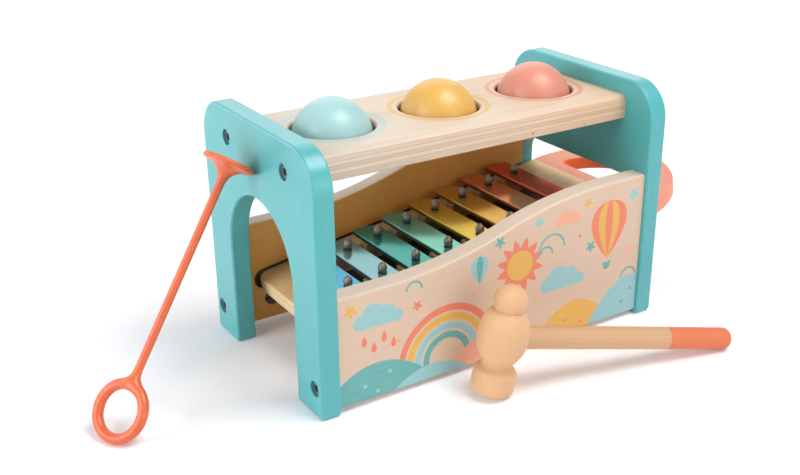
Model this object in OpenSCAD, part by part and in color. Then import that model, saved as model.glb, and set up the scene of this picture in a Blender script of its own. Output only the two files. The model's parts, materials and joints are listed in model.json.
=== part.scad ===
// Peg pounding bench: a wooden bench with three balls that are hammered through the top board,
// a sloping xylophone tray that slides out of the right end, a mallet and a ring-handled beater.
// X runs along the bench from left to right, Y from front to back, Z up from the floor.
// Sizes are worked out with X = 0 on the outer face of the left end, and the whole set is then
// shifted so that the origin lies under the middle of everything that stands on the floor.

/* [Bench] */
// Length over both end panels
bench_l = 240; // [236:1:252]
// Width of the end panels
bench_w = 135; // [133:1:150]
// Height of the end panels
bench_h = 150; // [148:1:165]
// Thickness of the end panels
end_t = 12; // [11:0.5:14]
// Radius of the end panels' top corners
end_corner_r = 22; // [16:1:26]
// Radius of the end panels' foot corners
foot_corner_r = 3; // [1:0.5:6]
// Width of the arch in the left end
arch_w = 78; // [66:1:84]
// Height of the arch in the left end
arch_h = 106.5; // [90:0.5:112]
// Height of the low arch under the window of the right end
low_arch_h = 38; // [24:1:44]
// Corner radius of the low arch
low_arch_r = 18; // [8:1:22]

/* [Top board and balls] */
// Width of the top board
board_w = 89; // [86:1:96]
// Thickness of the top board
board_t = 15; // [14:0.5:18]
// How far the board lies below the top of the ends
board_drop = 10; // [6:0.5:12]
// Rounding of the board's upper long edges
board_round = 5; // [2:0.5:6]
// Rounding of the board's lower long edges
board_under_round = 2; // [1:0.5:4]
// Diameter of the balls
ball_d = 46; // [44.5:0.5:47]
// Share of the board's length beside the holes that lies between them
ball_gap_share = 0.6525; // [0.62:0.0025:0.68]
// Play between a ball and the wall of its hole
hole_play = 1.25; // [0.8:0.05:1.6]
// Rounding of the holes' upper rims
hole_round = 1.75; // [0.5:0.25:2.5]
// How far a ball's centre lies below the board's top face
ball_sink = 7; // [6:0.5:7.5]
// Section diameter of the rubber grip rings
ring_d = 4; // [3.6:0.1:4.4]
// How far a grip ring lies below the ball's centre
ring_drop = 5.5; // [5:0.25:5.75]
// Gap between a resting ball and its grip ring
ring_gap = 0.3; // [0.2:0.05:0.4]

/* [Side panels] */
// Thickness of the side panels
side_t = 12; // [11:0.5:13]
// How far the side panels stand back from the edges of the ends
side_inset = 2; // [1:0.5:4]
// Gap between the side panels and the floor
side_lift = 3; // [2:0.5:6]
// Height of the side panels' top edge at the left
side_low = 69; // [64:1:76]
// Height of the side panels' top edge at the right
side_high = 95; // [88:1:104]
// Level stretch of the top edge beside the left end
side_low_run = 31; // [24:1:44]
// Level stretch of the top edge beside the right end
side_high_run = 26; // [20:1:40]
// Depth of the grooves that the tray slides in
groove_depth = 3.2; // [2.4:0.1:4]

/* [Xylophone tray] */
// Slope of the tray in degrees
tray_tilt = 8.74; // [8:0.02:9.4]
// Thickness of the tray
tray_t = 10; // [9:0.5:11]
// Height of the tray's top face, carried on to the outer face of the left end
tray_rise = 31.5; // [29:0.5:34]
// Gap between the left end's inner face and the tray
tray_from_end = 9; // [7:0.5:12]
// Length of the handle that stands out of the right end
handle_out = 57.7; // [52:0.1:64]
// Width of the strip between the right end and the hand slot
slot_from_end = 9.4; // [7:0.1:14]
// Width of the handle's rim round the hand slot
handle_rim = 17; // [14:0.5:20]
// Corner radius of the hand slot
slot_r = 5; // [3:0.5:7]
// Radius of the tray's inner corners
tray_corner_r = 9.5; // [6:0.5:12]
// Play between the tray's edges and the groove walls
tray_side_play = 0.7; // [0.4:0.1:1.2]
// Play under the tray
tray_under_play = 0.3; // [0.2:0.05:0.4]
// Play over the tray
tray_over_play = 1.8; // [1:0.1:2.4]
// Play between the tray's inner corners and the round ends of the grooves
tray_end_play = 0.5; // [0.4:0.1:1.5]
// Play between the tray's edges and the window in the right end
window_side_play = 1; // [0.8:0.1:2]
// Clearance over the pins as they pass the window
window_over_play = 2.7; // [2:0.1:5]
// Clearance under the tray in the window
window_under_play = 2.4; // [1.5:0.1:4]
// Radius of the window's upper corners
window_r = 13; // [8:0.5:16]
// Radius of the window's lower corners
window_low_r = 4; // [1:0.5:4]

/* [Sound bars] */
// Number of bars
bar_count = 8; // [8:1:8]
// Distance between neighbouring bars along the bench
bar_pitch = 22.3; // [21.6:0.1:22.9]
// Width of a bar
bar_w = 18.6; // [16:0.1:19.4]
// Thickness of a bar
bar_t = 2.6; // [2:0.1:3]
// Length of the shortest bar
bar_short = 68; // [62:1:74]
// Length of the longest bar
bar_long = 101; // [92:1:102]
// Corner radius of a bar
bar_corner_r = 2; // [1:0.25:4]
// Distance from the tray's inner end to the first bar's centre
first_bar = 24; // [22:0.5:26]
// Place of the pins as a share of a bar's half length
node_share = 0.56; // [0.54:0.01:0.6]
// Height of the rails at a bar's centre
rail_h = 7; // [6:0.25:8.5]
// Width of the rails
rail_w = 7; // [6:0.25:9]
// Thickness of the felt pads
felt_t = 1.3; // [1:0.1:1.8]
// Gap between neighbouring felt pads
felt_split = 0.4; // [0.3:0.1:1]
// Gap between the felt pads and the bars
bar_seat_gap = 0.1; // [0.08:0.01:0.15]
// Diameter of a pin's head
pin_head_d = 5.6; // [5.2:0.1:6]
// Diameter of a pin's head at its foot
pin_foot_d = 4.4; // [4:0.1:5]
// Height over which a pin's head swells from its foot
pin_swell = 2; // [1:0.1:2.4]
// Height of a pin's head with its grommet
pin_h = 7; // [6.4:0.1:8]
// Diameter of a pin's shank
pin_shank_d = 2.2; // [1.8:0.1:2.6]
// How deep a pin is driven into the tray
pin_bite = 6; // [4:0.5:7]
// Diameter of a grommet's flange
grommet_d = 5.2; // [5:0.1:6]
// Thickness of a grommet's flange
grommet_t = 0.8; // [0.6:0.1:1]
// Wall of a grommet's sleeve
grommet_wall = 0.8; // [0.6:0.05:1]

/* [Fasteners] */
// Diameter of a bolt's head
bolt_head_d = 8.5; // [8:0.1:9]
// Height of a bolt's head
bolt_head_h = 3.2; // [2.8:0.1:3.6]
// How deep a bolt's head lies in the end panel
bolt_recess = 1.4; // [0.4:0.1:1.8]
// Diameter of a bolt's shank
bolt_d = 5; // [4.5:0.1:5.5]
// Width across the flats of the hexagon socket
socket_w = 4; // [3.5:0.1:4.5]
// Depth of the hexagon socket
socket_depth = 2; // [1.5:0.1:2.2]
// Distance of the upper bolts from the board's edges
upper_bolt_inset = 9.5; // [8:0.5:10]
// Height of the lower bolts
lower_bolt_z = 17; // [12:0.5:19]
// Diameter of the barrel nuts
nut_d = 10; // [9:0.25:11]
// Distance of the barrel nuts from the end panels
nut_from_end = 19; // [17:0.5:21]
// Skin left between a barrel nut's hole and the far face
nut_skin = 2.4; // [1.5:0.1:3]
// Width and depth of the screwdriver slot in a barrel nut
nut_slot = 1.3; // [1:0.1:1.5]
// Diameter of the wooden dowels
dowel_d = 6; // [5:0.25:6.5]
// Length of the wooden dowels
dowel_l = 24; // [20:0.5:28]
// Height of the wooden dowels
dowel_z = 42; // [40:0.5:44]
// How far the dowels reach into the end panels
dowel_bite = 8; // [6:0.25:9]
// Play round glued and screwed parts
fit_play = 0.1; // [0.05:0.01:0.15]

/* [Mallet] */
// Diameter of the mallet's barrel
barrel_d = 28.6; // [26:0.2:31]
// Height from the head's foot to the start of the barrel
barrel_from = 29; // [27:0.5:31]
// Height from the head's foot to the top of the barrel
barrel_to = 50.5; // [49:0.5:51.5]
// Rounding of the barrel's shoulder
barrel_round = 7; // [4:0.25:8]
// Diameter of the neck over the foot
neck_d = 17.4; // [15:0.2:20]
// Height of the neck over the head's foot
neck_z = 16.9; // [16:0.1:18]
// Diameter of the foot knob
foot_d = 24.8; // [23:0.2:26]
// Rounding of the foot knob
foot_round = 4; // [3:0.25:5]
// Diameter of the ball on the head
knob_d = 18.8; // [17:0.2:20]
// Height of that ball's centre over the head's foot
knob_z = 55.4; // [54:0.2:56]
// Diameter of the handle
handle_d = 13.2; // [12:0.2:14]
// Length of the handle from the head's axis
handle_l = 152; // [140:1:165]
// Height of the handle's axis over the head's foot
handle_z = 33.4; // [32:0.2:35]
// Rounding of the handle's tip
handle_round = 4.5; // [3:0.25:5]
// Depth of the handle in the head, from the head's axis
handle_start = 6; // [4:0.5:8]
// Distance of the head's foot behind the left end's outer face
mallet_x = 92.9; // [85:0.1:100]
// Distance of the head's foot in front of the bench's middle
mallet_y = 92.9; // [90:0.1:100]
// Direction of the handle on the floor, in degrees
mallet_turn = -13.4; // [-20:0.1:-6]

/* [Beater] */
// Diameter of the finger ring's centre line
finger_d = 28.8; // [27:0.2:32]
// Section diameter of the finger ring
finger_section = 5.9; // [5.2:0.1:6.4]
// Diameter of the stem
stem_d = 4.6; // [4.2:0.1:5]
// Length from the finger ring's centre to the disc's outer face
beater_l = 142.6; // [136:0.2:148]
// Diameter of the disc
disc_d = 28.8; // [26:0.2:30]
// Thickness of the disc
disc_t = 3; // [2.4:0.1:3.6]
// Radius of the flare under the disc
flare_r = 9; // [7:0.25:9.5]
// Radius of the webs between stem and finger ring
web_r = 8; // [6:0.25:10]
// Thickness of the webs
web_t = 4.4; // [4:0.1:5]
// Steepness of the leaning stem in degrees
beater_lean = 53.7; // [50:0.1:58]
// Direction of the stem seen from above, in degrees
beater_turn = 16.4; // [10:0.1:22]
// Turn of the finger ring about the stem, in degrees
beater_roll = 9.6; // [0:0.1:20]
// Distance of the finger ring's centre in front of the bench's middle
beater_y = 19.6; // [15:0.1:25]
// Gap between the disc's rim and the left end
lean_gap = 0.3; // [0.2:0.05:0.4]

/* [Hidden] */
$fn = 96;

// Overrun of every cut past the face that it opens
cut = 1;
// How far the hand slot's corner arcs pass its far wall, so that the arcs cross
slot_lap = 0.03;

// Bench
inner_x0 = end_t;
inner_x1 = bench_l - end_t;
board_z1 = bench_h - board_drop;
board_z0 = board_z1 - board_t;
side_y1 = bench_w / 2 - side_inset;
side_y0 = side_y1 - side_t;
arch_r = arch_w / 2;

// Balls and grip rings
ball_r = ball_d / 2;
hole_r = ball_r + hole_play;
ball_z = board_z1 - ball_sink;
balls = 3;
beside_holes = inner_x1 - inner_x0 - 2 * balls * hole_r;
ball_pitch = 2 * hole_r + beside_holes * ball_gap_share / (balls - 1);
ball_xs = [bench_l / 2 - ball_pitch, bench_l / 2, bench_l / 2 + ball_pitch];
ring_r = ring_d / 2;
ring_major_r = sqrt(pow(ball_r + ring_gap + ring_r, 2) - pow(ring_drop, 2));

// Wave of the side panels' top edge: two tangent arcs of one radius
wave_x0 = inner_x0 + side_low_run;
wave_x1 = inner_x1 - side_high_run;
wave_l = wave_x1 - wave_x0;
wave_h = side_high - side_low;
wave_turn = 2 * atan(wave_h / wave_l);
wave_r = wave_l / 2 / sin(wave_turn);

// Tray, in its own frame: u along the slope, v across, w square to the top face
tray_slope = tan(tray_tilt);
tray_half_w = side_y0 + groove_depth - tray_side_play;
tray_u0 = (inner_x0 + tray_from_end) / cos(tray_tilt);
paint_u = bench_l / cos(tray_tilt);
tray_u1 = paint_u + handle_out;
tray_round_u = tray_u1 - tray_half_w;
slot_u0 = paint_u + slot_from_end;
slot_big_r = tray_half_w - handle_rim;
slot_corner_u = slot_u0 + slot_r;
slot_corner_v = sqrt(pow(slot_big_r - slot_r + slot_lap, 2) - pow(slot_corner_u - tray_round_u, 2));
groove_r = (tray_t + tray_under_play + tray_over_play) / 2;
groove_w = tray_over_play - groove_r;
tray_corner_back = tray_corner_r - sqrt(pow(tray_corner_r, 2)
    - pow(side_y0 - tray_half_w + tray_corner_r, 2));
groove_chord = sqrt(pow(groove_r, 2) - pow(tray_t + groove_w, 2));
groove_u = tray_u0 + tray_corner_back + groove_chord - tray_end_play;
tray_normal = [-sin(tray_tilt), 0, cos(tray_tilt)];

// Sound bars, each level, on rails whose steps follow the slope
first_bar_x = inner_x0 + tray_from_end + first_bar;
bar_xs = [for (i = [0 : bar_count - 1]) first_bar_x + i * bar_pitch];
bar_halves = [for (i = [0 : bar_count - 1])
    (bar_short + (bar_long - bar_short) * i / (bar_count - 1)) / 2];
pin_ys = [for (half = bar_halves) node_share * half];
bar_stack = rail_h + felt_t + bar_seat_gap + bar_t;
pin_head_r = pin_head_d / 2;
pin_dome_z = pin_h - grommet_t - pin_head_r;
pin_shank_r = pin_shank_d / 2;
grommet_bore_r = pin_shank_r + fit_play;
grommet_sleeve_r = grommet_bore_r + grommet_wall;
rail_mid_x = (bar_xs[0] + bar_xs[bar_count - 1]) / 2;
rail_mid_y = (pin_ys[0] + pin_ys[bar_count - 1]) / 2;
rail_yaw = atan((pin_ys[bar_count - 1] - pin_ys[0]) / (bar_xs[bar_count - 1] - bar_xs[0]));

// Window of the right end, tied to what slides through it
window_half_w = tray_half_w + window_side_play;
window_z1 = tray_top_z(bench_l + pin_head_r) + bar_stack + pin_h + window_over_play;
window_z0 = tray_top_z(inner_x1) - tray_t / cos(tray_tilt) - window_under_play;

// Fasteners
bolt_head_r = bolt_head_d / 2;
bolt_r = bolt_d / 2;
nut_r = nut_d / 2;
dowel_r = dowel_d / 2;
socket_r = socket_w / 2 / cos(30);
bolt_sink = bolt_head_h + bolt_recess;
bolt_l = end_t - bolt_sink + nut_from_end + nut_r + cut;
upper_bolt_y = board_w / 2 - upper_bolt_inset;
upper_bolt_z = (board_z0 + board_z1) / 2;
lower_bolt_y = (side_y0 + side_y1) / 2;
bolt_places = [for (side = [-1, 1]) each [[side * upper_bolt_y, upper_bolt_z],
    [side * lower_bolt_y, lower_bolt_z]]];
upper_nut_l = board_t - nut_skin;
side_nut_l = side_t - nut_skin;

// Mallet: it rests on the rim of its foot and on the tip of its handle
barrel_r = barrel_d / 2;
foot_r = foot_d / 2;
neck_r = neck_d / 2;
knob_r = knob_d / 2;
handle_r = handle_d / 2;
foot_flat_r = foot_r - foot_round;
tip_flat_r = handle_r - handle_round;
lean_run = handle_l - handle_round - foot_flat_r;
lean_rise = handle_z - foot_round - tip_flat_r;
mallet_lean = acos((handle_round - foot_round) / norm([lean_run, lean_rise])) - atan2(lean_run, lean_rise);
mallet_z = foot_flat_r * sin(mallet_lean) + foot_round * (1 - cos(mallet_lean));
mallet_hub = [mallet_x + handle_z * sin(mallet_lean) * cos(mallet_turn),
    -mallet_y + handle_z * sin(mallet_lean) * sin(mallet_turn)];
handle_dir_y = sin(mallet_turn) * cos(mallet_lean);

// Beater: its ring stands on the floor and its disc leans on the left end
finger_r = finger_d / 2;
section_r = finger_section / 2;
stem_r = stem_d / 2;
disc_r = disc_d / 2;
stem_dir_x = cos(beater_lean) * cos(beater_turn);
finger_normal_z = cos(beater_roll) * cos(beater_lean);
finger_normal_x = sin(beater_roll) * sin(beater_turn) - cos(beater_roll) * cos(beater_turn) * sin(beater_lean);
rim_r = disc_t / 2;
beater_x = -lean_gap - rim_r - (disc_r - rim_r) * sqrt(1 - pow(stem_dir_x, 2))
    - (beater_l - rim_r) * stem_dir_x;
beater_z = finger_r * sqrt(1 - pow(finger_normal_z, 2)) + section_r;
finger_outer_r = finger_r + section_r;
web_side = stem_r + web_r;
web_along = sqrt(pow(finger_outer_r + web_r, 2) - pow(web_side, 2));
web_touch_share = finger_outer_r / (finger_outer_r + web_r);

// Middle of the whole set on the floor
set_x0 = beater_x - finger_r * sqrt(1 - pow(finger_normal_x, 2)) - section_r;
set_x1 = tray_u1 * cos(tray_tilt) + tray_t * sin(tray_tilt);
set_y0 = mallet_hub[1] + handle_dir_y * (handle_l - handle_round)
    - tip_flat_r * sqrt(1 - pow(handle_dir_y, 2)) - handle_round;
set_y1 = bench_w / 2;
set_centre = [(set_x0 + set_x1) / 2, (set_y0 + set_y1) / 2, 0];

function tray_top_z(x) = tray_rise + tray_slope * x;

// Moves a shape from the bench's own frame into the frame of the set
module placed() {
    translate(-set_centre) children();
}

// A flat outline in X and Z, given its thickness along Y from y0
module xz_plate(y0, t) {
    translate([0, y0 + t, 0]) rotate([90, 0, 0]) linear_extrude(height = t) children();
}

// A flat outline in Y and Z, given its thickness along X from x0
module yz_plate(x0, t) {
    translate([x0, 0, 0]) rotate([90, 0, 90]) linear_extrude(height = t) children();
}

// A rod along X from x0
module x_rod(x0, l, r) {
    translate([x0, 0, 0]) rotate([0, 90, 0]) cylinder(h = l, r = r);
}

module tray_frame() {
    translate([0, 0, tray_rise]) rotate([0, -tray_tilt, 0]) children();
}

// A rectangle about the origin with round corners
module round_rect(w, h, r) {
    square([w - 2 * r, h], center = true);
    square([w, h - 2 * r], center = true);
    for (side_x = [-1, 1], side_y = [-1, 1])
        translate([side_x * (w / 2 - r), side_y * (h / 2 - r)]) circle(r = r);
}

// Outline shared by both ends: large round corners on top, small ones at the feet
module end_outline() {
    w = bench_w / 2;
    translate([-w, foot_corner_r]) square([bench_w, bench_h - end_corner_r - foot_corner_r]);
    translate([-w + foot_corner_r, 0]) square([bench_w - 2 * foot_corner_r, bench_h - end_corner_r]);
    translate([-w + end_corner_r, 0]) square([bench_w - 2 * end_corner_r, bench_h]);
    for (side = [-1, 1]) {
        translate([side * (w - end_corner_r), bench_h - end_corner_r]) circle(r = end_corner_r);
        translate([side * (w - foot_corner_r), foot_corner_r]) circle(r = foot_corner_r);
    }
}

module arch_outline() {
    translate([0, arch_h - arch_r]) circle(r = arch_r);
    translate([-arch_r, -cut]) square([arch_w, arch_h - arch_r + cut]);
}

module low_arch_outline() {
    straight = arch_r - low_arch_r;
    translate([-straight, -cut]) square([2 * straight, low_arch_h + cut]);
    translate([-arch_r, -cut]) square([arch_w, low_arch_h - low_arch_r + cut]);
    for (side = [-1, 1])
        translate([side * straight, low_arch_h - low_arch_r]) circle(r = low_arch_r);
}

module window_outline() {
    low_w = window_half_w - window_low_r;
    high_w = window_half_w - window_r;
    translate([-window_half_w, window_z0 + window_low_r])
        square([2 * window_half_w, window_z1 - window_r - window_z0 - window_low_r]);
    translate([-low_w, window_z0]) square([2 * low_w, window_z1 - window_r - window_z0]);
    translate([-high_w, window_z0]) square([2 * high_w, window_z1 - window_z0]);
    for (side = [-1, 1]) {
        translate([side * low_w, window_z0 + window_low_r]) circle(r = window_low_r);
        translate([side * high_w, window_z1 - window_r]) circle(r = window_r);
    }
}

// Holes for the bolts and dowels of the left end, with the heads at its outer face
module end_holes() {
    for (place = bolt_places) translate([0, place[0], place[1]]) {
        x_rod(-cut, bolt_sink + cut, bolt_head_r + fit_play);
        x_rod(0, end_t + cut, bolt_r + fit_play);
    }
    for (side = [-1, 1]) translate([0, side * lower_bolt_y, dowel_z])
        x_rod(end_t - dowel_bite - fit_play, dowel_bite + fit_play + cut, dowel_r + fit_play);
}

// Turns what belongs to the left end round to the right end
module at_right_end() {
    translate([bench_l, 0, 0]) mirror([1, 0, 0]) children();
}

module left_end() {
    color([0.58, 0.82, 0.82]) placed() difference() {
        yz_plate(0, end_t) difference() {
            end_outline();
            arch_outline();
        }
        end_holes();
    }
}

module right_end() {
    color([0.58, 0.82, 0.82]) placed() difference() {
        yz_plate(inner_x1, end_t) difference() {
            end_outline();
            low_arch_outline();
            window_outline();
        }
        at_right_end() end_holes();
    }
}

// Section of the top board, in Y and Z
module board_section() {
    w = board_w / 2;
    translate([-w, board_under_round]) square([board_w, board_t - board_under_round - board_round]);
    translate([-w + board_round, 0]) square([board_w - 2 * board_round, board_t]);
    for (side = [-1, 1]) {
        translate([side * (w - board_round), board_t - board_round]) circle(r = board_round);
        translate([side * (w - board_under_round), board_under_round]) circle(r = board_under_round);
        translate([side * (w - board_round) - board_under_round, 0])
            square([2 * board_under_round, board_t - board_round]);
        translate([side > 0 ? w - board_round : -w + board_under_round, 0])
            square([board_round - board_under_round, board_under_round + cut]);
    }
}

// What is taken out of the board for one ball: bore, rounded rim and the grip ring's groove
module ball_hole() {
    translate([0, 0, board_z0 - cut]) cylinder(h = board_t + 2 * cut, r = hole_r);
    translate([0, 0, board_z1 - hole_round]) rotate_extrude() difference() {
        square([hole_r + hole_round, hole_round + cut]);
        translate([hole_r + hole_round, 0]) circle(r = hole_round);
    }
    translate([0, 0, ball_z - ring_drop]) rotate_extrude()
        translate([ring_major_r, 0]) circle(r = ring_r + fit_play);
}

module board_end_holes() {
    for (side = [-1, 1]) {
        translate([0, side * upper_bolt_y, upper_bolt_z])
            x_rod(inner_x0 - cut, nut_from_end + nut_r + 3 * cut, bolt_r + fit_play);
        translate([inner_x0 + nut_from_end, side * upper_bolt_y, board_z0 - cut])
            cylinder(h = upper_nut_l + cut, r = nut_r + fit_play);
    }
}

module top_board() {
    color([0.95, 0.87, 0.75]) placed() difference() {
        yz_plate(inner_x0, inner_x1 - inner_x0) translate([0, board_z0]) board_section();
        for (x = ball_xs) translate([x, 0, 0]) ball_hole();
        board_end_holes();
        at_right_end() board_end_holes();
    }
}

// Outline of a side panel in X and Z, with the wave of its top edge
module side_outline() {
    mid_x = (wave_x0 + wave_x1) / 2;
    translate([inner_x0, side_lift]) square([inner_x1 - inner_x0, side_low - side_lift]);
    translate([wave_x1, side_low - cut]) square([inner_x1 - wave_x1, wave_h + cut]);
    difference() {
        translate([wave_x0, side_low - cut]) square([mid_x - wave_x0, wave_h]);
        translate([wave_x0, side_low + wave_r]) circle(r = wave_r, $fn = 360);
    }
    intersection() {
        translate([mid_x, side_low - cut]) square([wave_x1 - mid_x, wave_h + cut]);
        translate([wave_x1, side_high - wave_r]) circle(r = wave_r, $fn = 360);
    }
}

module side_end_holes() {
    translate([0, lower_bolt_y, lower_bolt_z])
        x_rod(inner_x0 - cut, nut_from_end + nut_r + 3 * cut, bolt_r + fit_play);
    translate([inner_x0 + nut_from_end, side_y0 - cut, lower_bolt_z]) rotate([-90, 0, 0])
        cylinder(h = side_nut_l + cut, r = nut_r + fit_play);
    translate([0, lower_bolt_y, dowel_z])
        x_rod(inner_x0 - cut, dowel_l - dowel_bite + fit_play + cut, dowel_r + fit_play);
}

// The groove that the tray slides in, closed and round at the left, open at the right
module groove() {
    tray_frame() translate([0, 0, groove_w]) {
        translate([groove_u, side_y0 - cut, 0]) rotate([-90, 0, 0])
            cylinder(h = groove_depth + cut, r = groove_r);
        translate([groove_u, side_y0 - cut, -groove_r])
            cube([bench_l, groove_depth + cut, 2 * groove_r]);
    }
}

module side_body() {
    difference() {
        xz_plate(side_y0, side_t) side_outline();
        groove();
        side_end_holes();
        at_right_end() side_end_holes();
    }
}

module rear_panel() {
    color([0.86, 0.7, 0.5]) placed() side_body();
}

module front_panel() {
    color([0.9, 0.8, 0.68]) placed() mirror([0, 1, 0]) side_body();
}

// A socket-head bolt through the left end
module end_bolt() {
    difference() {
        union() {
            x_rod(bolt_sink - bolt_head_h, bolt_head_h, bolt_head_r);
            x_rod(bolt_sink - bolt_r, bolt_l + bolt_r, bolt_r);
        }
        translate([bolt_sink - bolt_head_h - cut, 0, 0]) rotate([0, 90, 0])
            cylinder(h = socket_depth + cut, r = socket_r, $fn = 6);
    }
}

module end_bolts() {
    color([0.6, 0.6, 0.6]) placed() {
        for (place = bolt_places) translate([0, place[0], place[1]]) end_bolt();
        at_right_end() for (place = bolt_places) translate([0, place[0], place[1]]) end_bolt();
    }
}

// A cross dowel standing on its slotted end, with the bolt's hole across it
module barrel_nut(l, hole_z) {
    difference() {
        cylinder(h = l, r = nut_r);
        translate([0, 0, hole_z]) rotate([0, 90, 0])
            cylinder(h = 2 * nut_d, r = bolt_r + fit_play, center = true);
        cube([2 * nut_d, nut_slot, 2 * nut_slot], center = true);
    }
}

module barrel_nut_set() {
    for (side = [-1, 1]) {
        translate([inner_x0 + nut_from_end, side * upper_bolt_y, board_z0])
            barrel_nut(upper_nut_l - fit_play, upper_bolt_z - board_z0);
        translate([inner_x0 + nut_from_end, side * side_y0, lower_bolt_z]) rotate([-side * 90, 0, 0])
            barrel_nut(side_nut_l - fit_play, lower_bolt_y - side_y0);
    }
}

module barrel_nuts() {
    color([0.62, 0.62, 0.6]) placed() {
        barrel_nut_set();
        at_right_end() barrel_nut_set();
    }
}

module dowel_pair() {
    for (side = [-1, 1]) translate([0, side * lower_bolt_y, dowel_z])
        x_rod(inner_x0 - dowel_bite, dowel_l, dowel_r);
}

module locating_dowels() {
    color([0.85, 0.7, 0.5]) placed() {
        dowel_pair();
        at_right_end() dowel_pair();
    }
}

module grip_ring(x) {
    color([0.25, 0.25, 0.25]) placed() translate([x, 0, ball_z - ring_drop])
        rotate_extrude() translate([ring_major_r, 0]) circle(r = ring_r, $fn = 48);
}

module ball(x, paint) {
    color(paint) placed() translate([x, 0, ball_z]) sphere(r = ball_r);
}

// The hand slot: a straight near edge, a far edge round about the tray's round end
module slot_outline() {
    corner = [slot_corner_u - tray_round_u, slot_corner_v];
    translate([slot_u0, -slot_corner_v]) square([slot_r, 2 * slot_corner_v]);
    for (side = [-1, 1]) translate([slot_corner_u, side * slot_corner_v]) circle(r = slot_r);
    intersection() {
        translate([tray_round_u, 0]) circle(r = slot_big_r);
        translate([tray_round_u, 0]) polygon([[0, 0], 2 * corner, [2 * corner[0], -2 * corner[1]]]
            * (slot_big_r / corner[0]));
        translate([slot_u0, -slot_big_r]) square([2 * slot_big_r, 2 * slot_big_r]);
    }
}

module tray_outline() {
    difference() {
        union() {
            translate([tray_round_u, 0]) circle(r = tray_half_w, $fn = 180);
            translate([tray_u0, -tray_half_w + tray_corner_r])
                square([tray_round_u - tray_u0, 2 * (tray_half_w - tray_corner_r)]);
            translate([tray_u0 + tray_corner_r, -tray_half_w])
                square([tray_round_u - tray_u0 - tray_corner_r, 2 * tray_half_w]);
            for (side = [-1, 1])
                translate([tray_u0 + tray_corner_r, side * (tray_half_w - tray_corner_r)])
                    circle(r = tray_corner_r);
        }
        slot_outline();
    }
}

// Puts its children at every pin, on top of the bar that the pin holds
module at_pins() {
    for (i = [0 : bar_count - 1], side = [-1, 1])
        translate([bar_xs[i], side * pin_ys[i], tray_top_z(bar_xs[i]) + bar_stack]) children();
}

module pin_holes() {
    at_pins() translate([0, 0, -bar_stack - pin_bite - cut])
        cylinder(h = bar_stack + pin_bite + 2 * cut, r = pin_shank_r + fit_play, $fn = 32);
}

module tray_board() {
    color([0.93, 0.8, 0.64]) placed() difference() {
        tray_frame() translate([0, 0, -tray_t]) linear_extrude(height = tray_t) tray_outline();
        pin_holes();
    }
}

// Turns a rail to follow the pins, about an axis square to the tray
module along_pins(side) {
    pivot = [rail_mid_x, side * rail_mid_y, tray_top_z(rail_mid_x)];
    translate(pivot) rotate(a = side * rail_yaw, v = tray_normal) translate([-rail_mid_x, 0, -pivot[2]])
        children();
}

// Stepped side view of a rail, with one level step under each bar
module rail_outline() {
    last = bar_count - 1;
    x0 = bar_xs[0] - bar_w / 2;
    x1 = bar_xs[last] + bar_w / 2;
    steps = [for (i = [last : -1 : 0])
        let (z = tray_top_z(bar_xs[i]) + rail_h)
        each [[i == last ? x1 : bar_xs[i] + bar_pitch / 2, z], [i == 0 ? x0 : bar_xs[i] - bar_pitch / 2, z]]];
    polygon(concat([[x0, tray_top_z(x0)], [x1, tray_top_z(x1)]], steps));
}

module bar_rail(side) {
    color([0.8, 0.66, 0.48]) placed() difference() {
        along_pins(side) xz_plate(-rail_w / 2, rail_w) rail_outline();
        pin_holes();
    }
}

module felt_pads(side) {
    color([0.78, 0.58, 0.36]) placed() difference() {
        along_pins(side) for (i = [0 : bar_count - 1]) {
            x0 = i == 0 ? bar_xs[i] - bar_w / 2 : bar_xs[i] - (bar_pitch - felt_split) / 2;
            x1 = i == bar_count - 1 ? bar_xs[i] + bar_w / 2 : bar_xs[i] + (bar_pitch - felt_split) / 2;
            translate([x0, -rail_w / 2, tray_top_z(bar_xs[i]) + rail_h]) cube([x1 - x0, rail_w, felt_t]);
        }
        pin_holes();
    }
}

// Sound bar number i, counted from 0 at the left
module sound_bar(i, paint) {
    color(paint) placed() translate([bar_xs[i], 0, tray_top_z(bar_xs[i]) + bar_stack - bar_t])
        linear_extrude(height = bar_t) difference() {
            round_rect(bar_w, 2 * bar_halves[i], bar_corner_r);
            for (side = [-1, 1]) translate([0, side * pin_ys[i]])
                circle(r = grommet_sleeve_r + fit_play, $fn = 48);
        }
}

// A pin: shank, head that swells from its foot and ends in a dome
module bar_pins() {
    color([0.5, 0.5, 0.5]) placed() at_pins() {
        translate([0, 0, grommet_t]) rotate_extrude($fn = 48) {
            polygon([[0, 0], [pin_foot_d / 2, 0], [pin_head_r, pin_swell], [pin_head_r, pin_dome_z],
                [0, pin_dome_z]]);
            intersection() {
                translate([0, pin_dome_z]) circle(r = pin_head_r);
                square([pin_head_r, pin_h]);
            }
        }
        translate([0, 0, -bar_stack - pin_bite])
            cylinder(h = bar_stack + pin_bite + grommet_t + fit_play, r = pin_shank_r, $fn = 48);
    }
}

module pin_grommets() {
    color([0.2, 0.22, 0.22]) placed() at_pins() difference() {
        union() {
            cylinder(h = grommet_t, r = grommet_d / 2, $fn = 48);
            translate([0, 0, -bar_t]) cylinder(h = bar_t + grommet_t, r = grommet_sleeve_r, $fn = 48);
        }
        translate([0, 0, -bar_t - cut])
            cylinder(h = bar_t + grommet_t + 2 * cut, r = grommet_bore_r, $fn = 48);
    }
}

// Stands the mallet on its foot rim and handle tip; its head points up and its handle along X
module mallet_frame() {
    translate([mallet_x, -mallet_y, mallet_z]) rotate([0, 0, mallet_turn]) rotate([0, mallet_lean, 0])
        children();
}

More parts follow.
